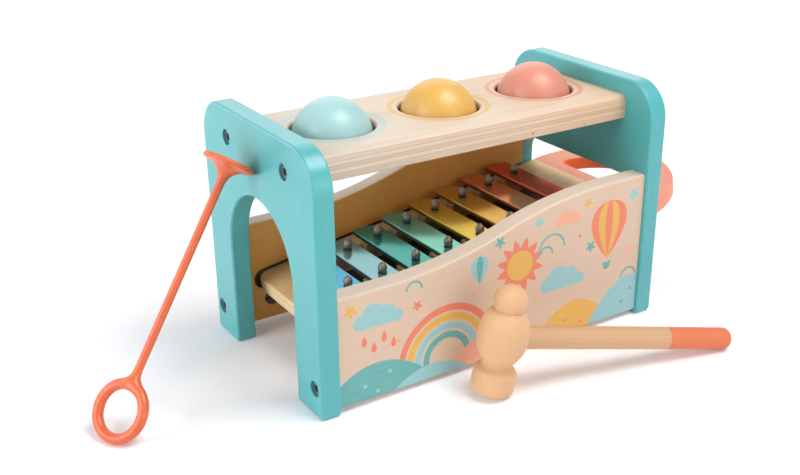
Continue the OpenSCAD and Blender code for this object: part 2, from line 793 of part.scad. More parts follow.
// Half section of the turned head, in radius and height
module head_section() {
    square([foot_flat_r, neck_z]);
    translate([0, foot_round]) square([foot_r, neck_z - 2 * foot_round]);
    for (z = [foot_round, neck_z - foot_round]) intersection() {
        translate([foot_flat_r, z]) circle(r = foot_round);
        square([foot_r, neck_z]);
    }
    polygon([[0, neck_z - foot_round], [neck_r, neck_z], [barrel_r, barrel_from],
        [barrel_r, barrel_to - barrel_round], [barrel_r - barrel_round, barrel_to], [0, barrel_to]]);
    translate([barrel_r - barrel_round, barrel_to - barrel_round]) circle(r = barrel_round);
    intersection() {
        translate([0, knob_z]) circle(r = knob_r);
        translate([0, barrel_to - cut]) square([knob_r, 2 * knob_d]);
    }
}

module mallet_head() {
    color([0.93, 0.75, 0.55]) placed() mallet_frame() difference() {
        rotate_extrude() head_section();
        translate([0, 0, handle_z]) x_rod(handle_start - fit_play, barrel_d, handle_r + fit_play);
    }
}

module mallet_handle() {
    color([0.9, 0.72, 0.52]) placed() mallet_frame() translate([0, 0, handle_z]) {
        x_rod(handle_start, handle_l - handle_start - handle_round, handle_r);
        x_rod(handle_start, handle_l - handle_start, tip_flat_r);
        translate([handle_l - handle_round, 0, 0]) rotate([0, 90, 0]) rotate_extrude()
            intersection() {
                translate([tip_flat_r, 0]) circle(r = handle_round);
                square([handle_r, handle_round]);
            }
    }
}

// Leans the beater; its stem runs along X from the middle of its finger ring
module beater_frame() {
    translate([beater_x, -beater_y, beater_z]) rotate([0, -beater_lean, beater_turn])
        rotate([beater_roll, 0, 0]) children();
}

// Half section of stem, flare and disc, in radius and distance from the ring's centre
module stem_section() {
    disc_from = beater_l - disc_t;
    translate([0, finger_r]) square([stem_r, beater_l - finger_r]);
    translate([0, disc_from]) square([disc_r - rim_r, disc_t]);
    translate([disc_r - rim_r, disc_from + rim_r]) circle(r = rim_r);
    difference() {
        translate([0, disc_from - flare_r]) square([stem_r + flare_r, flare_r + rim_r]);
        translate([stem_r + flare_r, disc_from - flare_r]) circle(r = flare_r);
    }
}

module beater() {
    touch = [web_along, web_side] * web_touch_share;
    color([0.95, 0.42, 0.24]) placed() beater_frame() {
        rotate_extrude() translate([finger_r, 0]) circle(r = section_r);
        rotate([90, 0, 90]) rotate_extrude() stem_section();
        translate([0, 0, -web_t / 2]) linear_extrude(height = web_t) difference() {
            polygon([[touch[0], -touch[1]], [web_along, -web_side], [web_along, web_side], touch]);
            for (side = [-1, 1]) translate([web_along, side * web_side]) circle(r = web_r);
        }
    }
}

left_end();
right_end();
top_board();
front_panel();
rear_panel();
end_bolts();
barrel_nuts();
locating_dowels();
grip_ring(ball_xs[0]);  // grip_ring_left
grip_ring(ball_xs[1]);  // grip_ring_middle
grip_ring(ball_xs[2]);  // grip_ring_right
ball(ball_xs[0], [0.55, 0.82, 0.74]);  // ball_left
ball(ball_xs[1], [0.98, 0.74, 0.36]);  // ball_middle
ball(ball_xs[2], [0.95, 0.5, 0.38]);  // ball_right
tray_board();
bar_rail(-1);  // bar_rail_front
bar_rail(1);  // bar_rail_rear
felt_pads(-1);  // felt_front
felt_pads(1);  // felt_rear
sound_bar(0, [0.36, 0.7, 0.82]);  // bar_1
sound_bar(1, [0.62, 0.78, 0.82]);  // bar_2
sound_bar(2, [0.27, 0.62, 0.57]);  // bar_3
sound_bar(3, [0.45, 0.66, 0.54]);  // bar_4
sound_bar(4, [0.84, 0.68, 0.26]);  // bar_5
sound_bar(5, [0.8, 0.58, 0.24]);  // bar_6
sound_bar(6, [0.78, 0.42, 0.26]);  // bar_7
sound_bar(7, [0.66, 0.26, 0.18]);  // bar_8
bar_pins();
pin_grommets();
mallet_head();
mallet_handle();
beater();
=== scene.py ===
"""Shapes are worked out in the bench's own millimetres (X from the left end's outer face, Y from the
middle, Z from the floor) and are then set into the frame of the whole set, in metres.
"""

import json
import math

import bpy
import numpy as np
from bpy.props import FloatProperty, FloatVectorProperty, PointerProperty
from mathutils import Matrix, Vector
from mathutils.geometry import tessellate_polygon

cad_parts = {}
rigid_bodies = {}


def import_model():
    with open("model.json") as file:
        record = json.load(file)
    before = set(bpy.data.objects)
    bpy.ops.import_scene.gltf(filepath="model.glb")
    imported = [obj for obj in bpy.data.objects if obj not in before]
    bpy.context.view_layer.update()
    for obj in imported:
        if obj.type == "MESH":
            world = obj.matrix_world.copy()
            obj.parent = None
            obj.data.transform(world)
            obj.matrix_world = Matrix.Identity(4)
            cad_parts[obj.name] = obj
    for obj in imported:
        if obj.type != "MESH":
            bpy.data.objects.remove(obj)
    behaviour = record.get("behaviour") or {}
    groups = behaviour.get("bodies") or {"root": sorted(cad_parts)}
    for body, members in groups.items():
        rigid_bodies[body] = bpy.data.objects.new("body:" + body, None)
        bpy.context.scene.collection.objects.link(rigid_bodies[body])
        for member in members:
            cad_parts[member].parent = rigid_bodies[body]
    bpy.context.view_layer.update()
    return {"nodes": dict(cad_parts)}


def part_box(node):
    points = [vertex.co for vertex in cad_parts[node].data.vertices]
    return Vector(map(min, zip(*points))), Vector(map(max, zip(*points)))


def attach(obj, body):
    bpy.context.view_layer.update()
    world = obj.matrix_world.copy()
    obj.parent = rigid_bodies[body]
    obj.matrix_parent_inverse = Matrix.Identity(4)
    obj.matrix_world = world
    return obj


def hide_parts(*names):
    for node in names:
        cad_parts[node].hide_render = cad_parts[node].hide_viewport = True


bl_info = {
    "name": "Peg Pounding Bench",
    "version": (1, 0, 0),
    "blender": (4, 5, 0),
    "location": "View3D > Sidebar > Pounding Bench",
    "description": "Dresses the wooden pounding bench, its xylophone tray, mallet and beater",
    "category": "Object",
}

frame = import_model()
LEFT_LOW, LEFT_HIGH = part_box("left_end")
ORIGIN = np.array([LEFT_LOW[0], (LEFT_LOW[1] + LEFT_HIGH[1]) / 2, 0.0])
MM = 0.001

# Sizes shared with the solids, in millimetres: the ends, the board, the balls and their rings
BENCH_L, BENCH_W, BENCH_H, END_T = 240.0, 135.0, 150.0, 12.0
ARCH_HALF, ARCH_TOP, WINDOW_LOW, WINDOW_PLAY = 39.0, 106.5, 54.03, 2.7
BOARD_W, BOARD_T, BOARD_TOP = 89.0, 15.0, 140.0
BALL_XS, BALL_R, BALL_Z, HOLE_R = (48.5, 120.0, 191.5), 23.0, 133.0, 24.25
RING_Z, RING_MID_R, RING_R = 127.5, 24.695, 2.0
# The sides with their wave and the groove that the tray slides in
SIDE_OUT, SIDE_IN, SIDE_LIFT, SIDE_LOW, SIDE_HIGH = 65.5, 53.5, 3.0, 69.0, 95.0
SIDE_T = SIDE_OUT - SIDE_IN
WAVE_X0, WAVE_X1 = 43.0, 202.0
GROOVE_DEPTH, GROOVE_R, GROOVE_U, GROOVE_W = 3.2, 6.05, 4.46, -4.25
# The places (y, z) of the end bolts and their barrel nuts
BOLTS, BOLT_HOLE_R = ((35.0, 132.5), (59.5, 17.0)), 4.6
NUT_X, NUT_R, NUT_BORE = 19.0, 5.1, 12.6
# The tray, its bars and their pins
TILT = math.radians(8.74)
TRAY_RISE, TRAY_T, TRAY_HALF, TRAY_U0 = 31.5, 10.0, 56.0, 21.0 / math.cos(TILT)
PAINT_U = BENCH_L / math.cos(TILT)
TRAY_U1 = PAINT_U + 57.7
BARS, BAR_X0, BAR_PITCH, BAR_W, BAR_T = 8, 45.0, 22.3, 18.6, 2.6
BAR_SHORT, BAR_LONG, BAR_CORNER, BAR_STACK = 68.0, 101.0, 3.6, 11.0
NODE_SHARE, PIN_HOLE_R, PIN_R, PIN_H, GROMMET_T = 0.56, 2.1, 2.8, 7.0, 0.8
# The beater and the mallet
FINGER_R, FINGER_TUBE, STEM_R, DISC_R, DISC_T, BEATER_L = 14.4, 2.95, 2.3, 14.4, 3.0, 142.6
HEAD_FLAT, FOOT_R, TIP_FLAT, TIP_R = 8.4, 4.0, 2.1, 4.5
HANDLE_Z, HANDLE_R, MALLET_L = 33.4, 6.6, 152.0
KNOB_X0, KNOB_X, KNOB_R = 50.5, 55.4, 9.4

WIDEST = 0.9999  # share of the largest radius a corner can have, so that a short straight side is left
FACE_DOWN = (math.pi, 0, 0)  # turn of a Mapping node whose third axis then runs down from a top face


# ---------------------------------------------------------------- user values

def size_field(name, words, value, low, high):
    """One length property of the panel, in metres, with its description, default and range."""
    return FloatProperty(name=name, description=words, default=value, min=low, max=high, unit="LENGTH")


def paint_colour(name, words, value):
    """One colour property of the panel, with its description and default."""
    return FloatVectorProperty(name=name, description=words, default=value, min=0.0, max=1.0,
                               size=3, subtype="COLOR")


class BenchSizes(bpy.types.PropertyGroup):
    """Sizes of the dressing that leave the solids as they are"""

    edge_round: size_field("Edge rounding", "Rounding of the painted ends' edges", 0.0014, 0.0005, 0.0025)
    panel_round: size_field("Panel rounding", "Rounding of the side panels' edges", 0.0015, 0.0005, 0.0025)
    tray_round: size_field("Tray rounding", "Rounding of the tray's edges", 0.0016, 0.0005, 0.0020)
    bar_round: size_field("Bar rounding", "Rounding of the sound bars' edges", 0.0005, 0.0002, 0.0010)
    ring_in: size_field("Ring, inside", "Inner radius of the painted rings", 0.0275, 0.0265, 0.0300)
    ring_out: size_field("Ring, outside", "Outer radius of the painted rings", 0.0305, 0.0290, 0.0340)
    dip_length: size_field("Painted tip", "Length of the mallet's painted tip", 0.0448, 0.0, 0.0800)


class BenchColours(bpy.types.PropertyGroup):
    """Colours of paint, print, wood and plastic, as linear values"""

    ends: paint_colour("Ends", "Paint of both end panels", (0.068, 0.412, 0.427))
    wood_light: paint_colour("Pale wood", "Lighter growth of the plywood", (0.760, 0.625, 0.515))
    wood_dark: paint_colour("Dark wood", "Darker growth of the plywood", (0.630, 0.440, 0.310))
    beech_light: paint_colour("Pale beech", "Lighter growth of the mallet", (0.750, 0.455, 0.250))
    beech_dark: paint_colour("Dark beech", "Darker growth of the mallet", (0.655, 0.370, 0.190))
    ball_left: paint_colour("Left ball", "Paint of the ball at the left", (0.368, 0.606, 0.604))
    ball_middle: paint_colour("Middle ball", "Paint of the ball in the middle", (0.725, 0.422, 0.098))
    ball_right: paint_colour("Right ball", "Paint of the ball at the right", (0.690, 0.266, 0.185))
    tray: paint_colour("Tray handle", "Paint of the tray's handle", (0.830, 0.300, 0.190))
    tip: paint_colour("Mallet tip", "Paint of the tip of the mallet's handle", (0.720, 0.192, 0.086))
    beater: paint_colour("Beater", "Plastic of the beater", (0.755, 0.143, 0.047))
    bar_1: paint_colour("Bar 1", "Paint of the shortest bar", (0.085, 0.345, 0.490))
    bar_2: paint_colour("Bar 2", "Paint of the second bar", (0.228, 0.398, 0.415))
    bar_3: paint_colour("Bar 3", "Paint of the third bar", (0.072, 0.288, 0.250))
    bar_4: paint_colour("Bar 4", "Paint of the fourth bar", (0.190, 0.465, 0.380))
    bar_5: paint_colour("Bar 5", "Paint of the fifth bar", (0.610, 0.440, 0.065))
    bar_6: paint_colour("Bar 6", "Paint of the sixth bar", (0.600, 0.355, 0.080))
    bar_7: paint_colour("Bar 7", "Paint of the seventh bar", (0.680, 0.265, 0.115))
    bar_8: paint_colour("Bar 8", "Paint of the longest bar", (0.720, 0.155, 0.070))
    ink_teal: paint_colour("Teal ink", "Print colour of hills, swirls and stars", (0.070, 0.400, 0.400))
    ink_aqua: paint_colour("Aqua ink", "Print colour of clouds and bands", (0.260, 0.560, 0.600))
    ink_coral: paint_colour("Coral ink", "Print colour of bands, rays and drops", (0.820, 0.190, 0.110))
    ink_salmon: paint_colour("Salmon ink", "Print colour of hills and stripes", (0.860, 0.400, 0.260))
    ink_mustard: paint_colour("Mustard ink", "Print colour of the sun and stars", (0.780, 0.430, 0.060))


def sizes():
    return bpy.context.scene.bench_sizes


def colours():
    return bpy.context.scene.bench_colours


# ---------------------------------------------------------------- surfaces

def in_set(points):
    """Bench millimetres to metres in the frame of the set: the point is scaled and the origin added."""
    return np.asarray(points, float) * MM + ORIGIN


def spot(x, y, z):
    """One point of the bench, in the frame of the set."""
    return tuple(in_set((x, y, z)))


def tray_to_bench(points):
    """Tray coordinates (u along the slope, v across, w square to the top) to bench millimetres.

    u and w are turned together by the slope, and w = 0 starts at the tray's rise at u = 0."""
    u, v, w = np.asarray(points, float).T
    return np.stack([u * math.cos(TILT) - w * math.sin(TILT), v,
                     TRAY_RISE + u * math.sin(TILT) + w * math.cos(TILT)], 1)


def tray_z(x):
    """Height of the tray's top face over the floor: its rise plus the slope's tangent times x."""
    return TRAY_RISE + math.tan(TILT) * x


def rays(t):
    """Unit vectors (cos t, sin t)."""
    return np.stack([np.cos(t), np.sin(t)], 1)


def rounded_loop(corners, radii, finest=0.012):
    """Closed outline of a polygon whose corners become arcs, as points and outward normals.

    Each arc touches both sides: its centre lies on the bisector at radius over the sine of half the
    angle. Its points are the centre plus the radius times a turning unit vector, and the normal is
    that vector, turned round at an inward corner. Material lies on the left of the direction of travel.
    A corner of radius 0 is one point whose normal is as long as its miter.
    finest is the greatest distance, in millimetres, between an arc and its chords."""
    points, normals = [], []
    c = np.asarray(corners, float)
    for here, before, after, r in zip(c, np.roll(c, 1, 0), np.roll(c, -1, 0), radii):
        a, b = before - here, after - here
        a, b = a / np.linalg.norm(a), b / np.linalg.norm(b)
        half = math.acos(float(np.clip(a @ b, -1, 1))) / 2
        if r == 0:
            points.append(here[None])
            normals.append(-(a + b)[None] / np.linalg.norm(a + b) / math.sin(half))
            continue
        middle = here + (a + b) / np.linalg.norm(a + b) * r / math.sin(half)
        start, end = here + a * r / math.tan(half) - middle, here + b * r / math.tan(half) - middle
        t0, t1 = math.atan2(start[1], start[0]), math.atan2(end[1], end[0])
        turn = (t1 - t0 + math.pi) % (2 * math.pi) - math.pi
        count = max(3, int(abs(turn) / (2 * math.acos(max(0.0, 1 - finest / max(r, finest))))) + 1)
        ray = rays(t0 + turn * np.linspace(0, 1, count + 1))
        points.append(middle + r * ray)
        normals.append(ray * (1 if turn > 0 else -1))
    return np.concatenate(points), np.concatenate(normals)


def round_hole(centre, r, count=64):
    """A round hole's outline, run clockwise, with normals that point to its middle."""
    ray = rays(-np.linspace(0, 2 * math.pi, count, endpoint=False))
    return np.asarray(centre) + r * ray, -ray


def edge_profile(t, low, high, steps=6):
    """Section of a plate's rim from its lower face to its upper one, as rows (inset, height, out, up).

    Each rounding is a quarter circle: inset r(1 - sin a) and height r(1 - cos a), with the normal
    (sin a, -cos a) at the lower edge and (sin a, cos a) at the upper one."""
    a = np.linspace(0, math.pi / 2, steps + 1)
    s, c = np.sin(a), np.cos(a)
    lower = np.stack([low * (1 - s), low * (1 - c), s, -c], 1)
    upper = np.stack([high * (1 - s), t - high * (1 - c), s, c], 1)[::-1]
    return np.concatenate([lower, upper])


def cap(loops, up):
    """Triangles that fill a flat face between its outline and its holes, all turned the same way."""
    flat = np.concatenate(loops)
    tris = np.array(tessellate_polygon([[Vector((x, y, 0)) for x, y in loop] for loop in loops]))
    a, b, c = flat[tris[:, 0]], flat[tris[:, 1]], flat[tris[:, 2]]
    area = (b[:, 0] - a[:, 0]) * (c[:, 1] - a[:, 1]) - (b[:, 1] - a[:, 1]) * (c[:, 0] - a[:, 0])
    wrong = (area < 0) if up else (area > 0)
    tris[wrong] = tris[wrong][:, ::-1]
    return tris[np.abs(area) > 1e-9]


def ring_quads(rows, count):
    """Quads between each row of a ring of points and the next row."""
    i, j = np.meshgrid(np.arange(count), np.arange(rows - 1))
    k = (i + 1) % count
    here, above = j * count, (j + 1) * count
    return np.stack([here + i, here + k, above + k, above + i], -1).reshape(-1, 4)


def plate(loops):
    """A plate with roundings along its rim and its holes: points, normals, quads and triangles.

    Each loop is (points, normals, profile, kind). A row of the profile moves the loop inwards by the
    inset along its normals and up by the height, so the rim is the profile carried along the loop. The
    kind is through or low: a pocket in the lower face has its own floor at its profile's upper end."""
    verts, norms, quads, tris = [], [], [], []
    low, high, base = [], [], 0
    for pts, nrm, profile, kind in loops:
        n, rows = len(pts), len(profile)
        inset, height, out, up = profile.T
        ring = pts[None] - nrm[None] * inset[:, None, None]
        for into, flat, upright in ((verts, ring, height), (norms, nrm[None] * out[:, None, None], up)):
            upright = np.broadcast_to(upright[:, None, None], (rows, n, 1))
            into.append(np.concatenate([flat, upright], 2).reshape(-1, 3))
        quads.append(base + ring_quads(rows, n))
        index = base + np.arange(n)
        low.append((ring[0], index))
        if kind == "through":
            high.append((ring[-1], index + (rows - 1) * n))
        else:
            verts.append(np.concatenate([ring[-1], np.full((n, 1), height[-1])], 1))
            norms.append(np.tile([0.0, 0.0, -1.0], (n, 1)))
            tris.append(base + rows * n + cap([ring[-1]], False))
            base += n
        base += rows * n
    for group, up in ((low, False), (high, True)):
        index = np.concatenate([g[1] for g in group])
        tris.append(index[cap([g[0] for g in group], up)])
    return np.concatenate(verts), np.concatenate(norms), np.concatenate(quads), np.concatenate(tris)


def lathe(profile, count=96):
    """A turned form about its first axis: points, normals, quads and triangles.

    profile has rows (place along the axis, radius) from end to end; both ends have radius 0. A point is
    (place, radius cos a, radius sin a), and its normal is the profile's tangent turned outwards."""
    h, r = np.asarray(profile, float).T
    tangent = np.gradient(np.stack([h, r], 1), axis=0)
    tangent /= np.maximum(np.linalg.norm(tangent, axis=1, keepdims=True), 1e-12)
    a = np.linspace(0, 2 * math.pi, count, endpoint=False)
    ring = np.stack([np.ones_like(a), np.cos(a), np.sin(a)], 1)
    hh, rr = h[1:-1], r[1:-1]
    verts = ring[None] * np.stack([hh, rr, rr], 1)[:, None]
    nn = np.stack([-tangent[1:-1, 1], tangent[1:-1, 0], tangent[1:-1, 0]], 1)
    norms = ring[None] * nn[:, None]
    verts = np.concatenate([verts.reshape(-1, 3), [[h[0], 0, 0], [h[-1], 0, 0]]])
    norms = np.concatenate([norms.reshape(-1, 3), [[-1, 0, 0], [1, 0, 0]]])
    i, rows = np.arange(count), len(hh)
    k = (i + 1) % count
    start, end, top = rows * count, rows * count + 1, (rows - 1) * count
    tris = np.concatenate([np.stack([np.full(count, start), k, i], 1),
                           np.stack([np.full(count, end), top + i, top + k], 1)])
    return verts, norms, ring_quads(rows, count), tris


def spline(knots, count):
    """A smooth profile through knots: cubic Hermite pieces with centred slopes, sampled evenly."""
    k = np.asarray(knots, float)
    m = np.gradient(k, axis=0)
    s = np.linspace(0, len(k) - 1, count)
    i = np.minimum(s.astype(int), len(k) - 2)
    t = (s - i)[:, None]
    return ((2 * t ** 3 - 3 * t ** 2 + 1) * k[i] + (t ** 3 - 2 * t ** 2 + t) * m[i]
            + (3 * t ** 2 - 2 * t ** 3) * k[i + 1] + (t ** 3 - t ** 2) * m[i + 1])


def moved(surface, matrix):
    """A surface with its points and normals carried by a 4 by 4 matrix without scale."""
    verts, norms, quads, tris = surface
    m = np.asarray(matrix)
    return verts @ m[:3, :3].T + m[:3, 3], norms @ m[:3, :3].T, quads, tris


def joined(surfaces):
    """Several surfaces as one."""
    verts, norms, quads, tris = zip(*surfaces)
    shift = np.cumsum([0] + [len(v) for v in verts[:-1]])
    quads, tris = (np.concatenate([f + b for f, b in zip(faces, shift)]) for faces in (quads, tris))
    return np.concatenate(verts), np.concatenate(norms), quads, tris


def turned(axis, degrees):
    """A turn about a main axis as a 4 by 4 matrix."""
    return np.array(Matrix.Rotation(math.radians(degrees), 4, axis))


def shifted(x, y, z):
    """A shift as a 4 by 4 matrix."""
    return np.array(Matrix.Translation((x, y, z)))


def make_piece(name, surface, material, body, replaces, slot):
    """Puts a surface, in bench millimetres, into a new object of the set that rides on a CAD body."""
    verts, norms, quads, tris = surface
    mesh = bpy.data.meshes.new(name)
    mesh.vertices.add(len(verts))
    mesh.vertices.foreach_set("co", in_set(verts).astype(np.float32).ravel())
    corners = np.concatenate([np.full(len(quads), 4), np.full(len(tris), 3)])
    mesh.loops.add(int(corners.sum()))
    mesh.loops.foreach_set("vertex_index", np.concatenate([quads.ravel(), tris.ravel()]).astype(np.int32))
    mesh.polygons.add(len(corners))
    mesh.polygons.foreach_set("loop_start", np.concatenate([[0], np.cumsum(corners)[:-1]]).astype(np.int32))
    mesh.update(calc_edges=True)
    mesh.validate()
    mesh.polygons.foreach_set("use_smooth", np.ones(len(mesh.polygons), bool))
    length = np.maximum(np.linalg.norm(norms, axis=1, keepdims=True), 1e-9)
    mesh.normals_split_custom_set_from_vertices((norms / length).tolist())
    mesh.materials.append(material)
    piece = bpy.data.objects.new(name, mesh)
    bpy.context.scene.collection.objects.link(piece)
    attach(piece, body)
    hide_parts(*replaces)


def dress(nodes, material):
    """Gives CAD nodes that keep their shape a better material."""
    for name in nodes:
        node = frame["nodes"][name]
        for holder in (node, *node.children):
            if holder.type == "MESH":
                for place in holder.material_slots:
                    place.material = material


# ---------------------------------------------------------------- shader parts

class Value:
    """A shader value; arithmetic and comparison with it add nodes to its tree.

    Times three numbers it is a vector, each axis by its own number."""

    def __init__(self, nodes, socket):
        self.nodes, self.socket = nodes, socket

    def __add__(self, other):
        return self.nodes.math("ADD", self, other)

    def __sub__(self, other):
        return self.nodes.math("SUBTRACT", self, other)

    def __rsub__(self, other):
        return self.nodes.math("SUBTRACT", other, self)

    def __mul__(self, other):
        if isinstance(other, tuple):
            return self.nodes.vector("MULTIPLY", self, other)
        return self.nodes.math("MULTIPLY", self, other)

    def __truediv__(self, other):
        return self.nodes.math("DIVIDE", self, other)

    def __lt__(self, other):
        return self.nodes.math("LESS_THAN", self, other)

    def __gt__(self, other):
        return self.nodes.math("GREATER_THAN", self, other)

    def __abs__(self):
        return self.nodes.math("ABSOLUTE", self)


class Nodes:
    """Short ways to add and link shader nodes in one tree."""

    def __init__(self, tree):
        self.tree = tree

    def add(self, kind, **settings):
        node = self.tree.nodes.new(kind)
        for key, value in settings.items():
            setattr(node, key, value)
        return node

    def values(self, sockets):
        """Output sockets by name, as values."""
        return {s.name: Value(self, s) for s in sockets if s.name}

    def feed(self, socket, value):
        if isinstance(value, Value):
            self.tree.links.new(value.socket, socket)
        elif value is not None:
            socket.default_value = value

    def fed(self, kind, values, **settings):
        """A new node with values for its first inputs."""
        node = self.add(kind, **settings)
        for socket, value in zip(node.inputs, values):
            self.feed(socket, value)
        return node

    def math(self, operation, a, b=None, c=None, clamp=False):
        node = self.fed("ShaderNodeMath", (a, b, c), operation=operation, use_clamp=clamp)
        return Value(self, node.outputs[0])

    def vector(self, operation, a, b=None):
        node = self.fed("ShaderNodeVectorMath", (a, b), operation=operation)
        return Value(self, node.outputs["Value" if operation in ("LENGTH", "DISTANCE") else "Vector"])

    def length(self, x, y, z=0.0):
        return self.vector("LENGTH", self.combine(x, y, z))

    def split(self, vector):
        return [Value(self, s) for s in self.fed("ShaderNodeSeparateXYZ", (vector,)).outputs]

    def combine(self, x, y, z):
        return Value(self, self.fed("ShaderNodeCombineXYZ", (x, y, z)).outputs[0])

    def mix(self, factor, a, b, blend="MIX"):
        node = self.add("ShaderNodeMix", data_type="RGBA", blend_type=blend)
        for key, value in (("Factor_Float", factor), ("A_Color", a), ("B_Color", b)):
            self.feed(next(s for s in node.inputs if s.identifier == key), rgba(value))
        return Value(self, next(s for s in node.outputs if s.identifier == "Result_Color"))

    def noise(self, vector, scale, detail=3.0, rough=0.5):
        node = self.add("ShaderNodeTexNoise")
        for key, value in (("Vector", vector), ("Scale", scale), ("Detail", detail), ("Roughness", rough)):
            self.feed(node.inputs[key], value)
        return Value(self, node.outputs[0])

    def remap(self, value, low, high, to_low=0.0, to_high=1.0):
        """The value's place between low and high, clamped, as a place between to_low and to_high."""
        return Value(self, self.fed("ShaderNodeMapRange", (value, low, high, to_low, to_high)).outputs[0])

    def window(self, value, a, b, c, d):
        """1 between b and c, falling to 0 at a and d."""
        return self.remap(value, a, b) * self.remap(value, c, d, 1.0, 0.0)

    def soft_step(self, inside, sharp=8.0):
        """A mask from a distance: 1 inside and 0 outside, over one unit through sharp."""
        return self.math("MULTIPLY_ADD", inside, sharp, 0.5, clamp=True)

    def group(self, tree, **values):
        """A shader group's outputs by name, for input values in which _ stands for a space."""
        node = self.add("ShaderNodeGroup", node_tree=tree)
        for key, value in values.items():
            self.feed(node.inputs[key.replace("_", " ")], rgba(value))
        return self.values(node.outputs)

    def mapped(self, shift=(0, 0, 0), turn=(0, 0, 0)):
        """Object coordinates, moved by the opposite of shift and then turned by minus turn."""
        coords = Value(self, self.add("ShaderNodeTexCoord").outputs["Object"])
        node = self.fed("ShaderNodeMapping", (coords, shift, turn), vector_type="TEXTURE")
        return Value(self, node.outputs[0])

    def bump(self, height, distance):
        node = self.add("ShaderNodeBump")
        for key, value in (("Height", height), ("Distance", distance), ("Strength", 1.0)):
            self.feed(node.inputs[key], value)
        return Value(self, node.outputs[0])

    def dress(self, shader, colour, rough, height, distance):
        """Links a surface's colour and roughness, and the bump of a height over a distance."""
        self.feed(shader.inputs["Base Color"], colour)
        self.feed(shader.inputs["Roughness"], rough)
        self.feed(shader.inputs["Normal"], self.bump(height, distance))


def rgba(value):
    """A colour of three numbers with a full alpha; anything else stays."""
    if isinstance(value, (tuple, list)) or type(value).__name__ in ("Color", "bpy_prop_array"):
        return (*value, 1.0) if len(value) == 3 else tuple(value)
    return value


def scaled(colour, share):
    """A colour made lighter or darker, up to full."""
    return tuple(min(1.0, v * share) for v in colour)


def shader_group(name, **inputs):
    """Makes a function that lays out nodes into a shader node group, built once and then shared.

    The function gets the tree helper and the input values, and returns the outputs by name. An input's
    default says its kind: none is a vector, and three numbers are a colour. A _ stands for a space."""
    def wrap(layout):
        def tree():
            if name in bpy.data.node_groups:
                return bpy.data.node_groups[name]
            made = bpy.data.node_groups.new(name, "ShaderNodeTree")
            for label, default in inputs.items():
                kind = "Vector" if default is None else "Color" if isinstance(default, tuple) else "Float"
                socket = made.interface.new_socket(label.replace("_", " "), in_out="INPUT",
                                                   socket_type="NodeSocket" + kind)
                if default is not None:
                    socket.default_value = rgba(default)
            n = Nodes(made)
            found = layout(n, n.values(n.add("NodeGroupInput").outputs))
            for label in found:
                kind = "Color" if label == "Color" else "Float"
                made.interface.new_socket(label, in_out="OUTPUT", socket_type="NodeSocket" + kind)
            out = n.add("NodeGroupOutput").inputs
            for label, value in found.items():
                n.feed(out[label], value)
            return made
        return tree
    return wrap


@shader_group("Plywood", Vector=None, Ply=0.00165, Light=(0.9, 0.7, 0.5), Dark=(0.7, 0.5, 0.3), Lines=1.0)
def plywood_group(n, g):
    """Plywood from its position along the grain, across it and down through the layers.

    The layer number is the depth over the ply, rounded down, and a face itself lies a little inside the
    first layer. Even layers are long grain: noise that is stretched along the face. Odd layers are end
    grain: darker, with short flecks. A thin glue line shows at each change, each layer has a shade of its
    own, and a few small voids lie in the layers. Lines fades the glue lines and voids."""
    along, across, depth = n.split(g["Vector"])
    wave = (n.noise(n.combine(along * 18.0, 0.0, 0.0), 1.0, 1.0) - 0.5) * 0.0002
    level = (depth + 0.0001 + wave * n.remap(depth, 0.0002, 0.001)) / g["Ply"]
    layer, part = n.math("FLOOR", level), n.math("FRACT", level)
    odd = n.math("MODULO", abs(layer), 2.0)
    seed = layer * 7.31
    long_grain = n.noise(n.combine(along * 20.0, across * 380.0, seed + depth * 260.0), 1.0, 4.0, 0.6)
    cloud = n.noise(n.combine(along * 9.0, across * 40.0, seed), 1.0, 2.0)
    figure = n.noise(n.combine(along * 5.0, across * 70.0, seed), 1.0, 1.0)
    bands = n.math("PINGPONG", across * 62.0 + figure * 3.2, 0.5)
    flecks = n.noise(n.combine(along * 1300.0, across * 1300.0, depth * 700.0), 1.0, 2.0, 0.7)
    shade = n.noise(n.combine(seed, along * 14.0, across * 14.0), 1.0, 1.0)
    streak = n.remap(long_grain, 0.35, 0.75, 0.0, 0.3) + (n.remap(cloud, 0.3, 0.8, 0.0, 0.25)
                                                          + n.remap(bands, 0.34, 0.5, 0.0, 0.16))
    cross = (n.remap(flecks, 0.4, 0.8, 0.5, 0.85)
             + n.remap(shade, 0.3, 0.7, 0.0, 0.3)) * n.remap(g["Lines"], 0.0, 1.0, 0.2, 1.0)
    amount = n.math("ADD", streak * (1.0 - odd), cross * odd, clamp=True)
    edge = n.math("MINIMUM", part, 1.0 - part)
    broken = n.remap(n.noise(n.combine(along * 55.0, seed, across * 55.0), 1.0, 2.0), 0.35, 0.6, 0.35, 1.0)
    inner = n.remap(depth, 0.0004, 0.0009) * g["Lines"]
    glue = n.remap(edge, 0.03, 0.13, 1.0, 0.0) * broken * inner
    void = n.noise(n.combine(along * 170.0, seed * 3.7, across * 170.0), 1.0, 0.0)
    void = n.remap(void, 0.83, 0.87) * (n.remap(edge, 0.08, 0.2) * inner)
    wood = n.mix(amount, g["Light"], g["Dark"])
    wood = n.mix(glue * 0.5, wood, (0.4, 0.22, 0.11))
    return {"Color": n.mix(void * 0.6, wood, (0.22, 0.11, 0.05)), "Height": long_grain * 0.6 - glue * 0.8,
            "Roughness": n.remap(amount, 0.0, 1.0, 0.42, 0.56)}


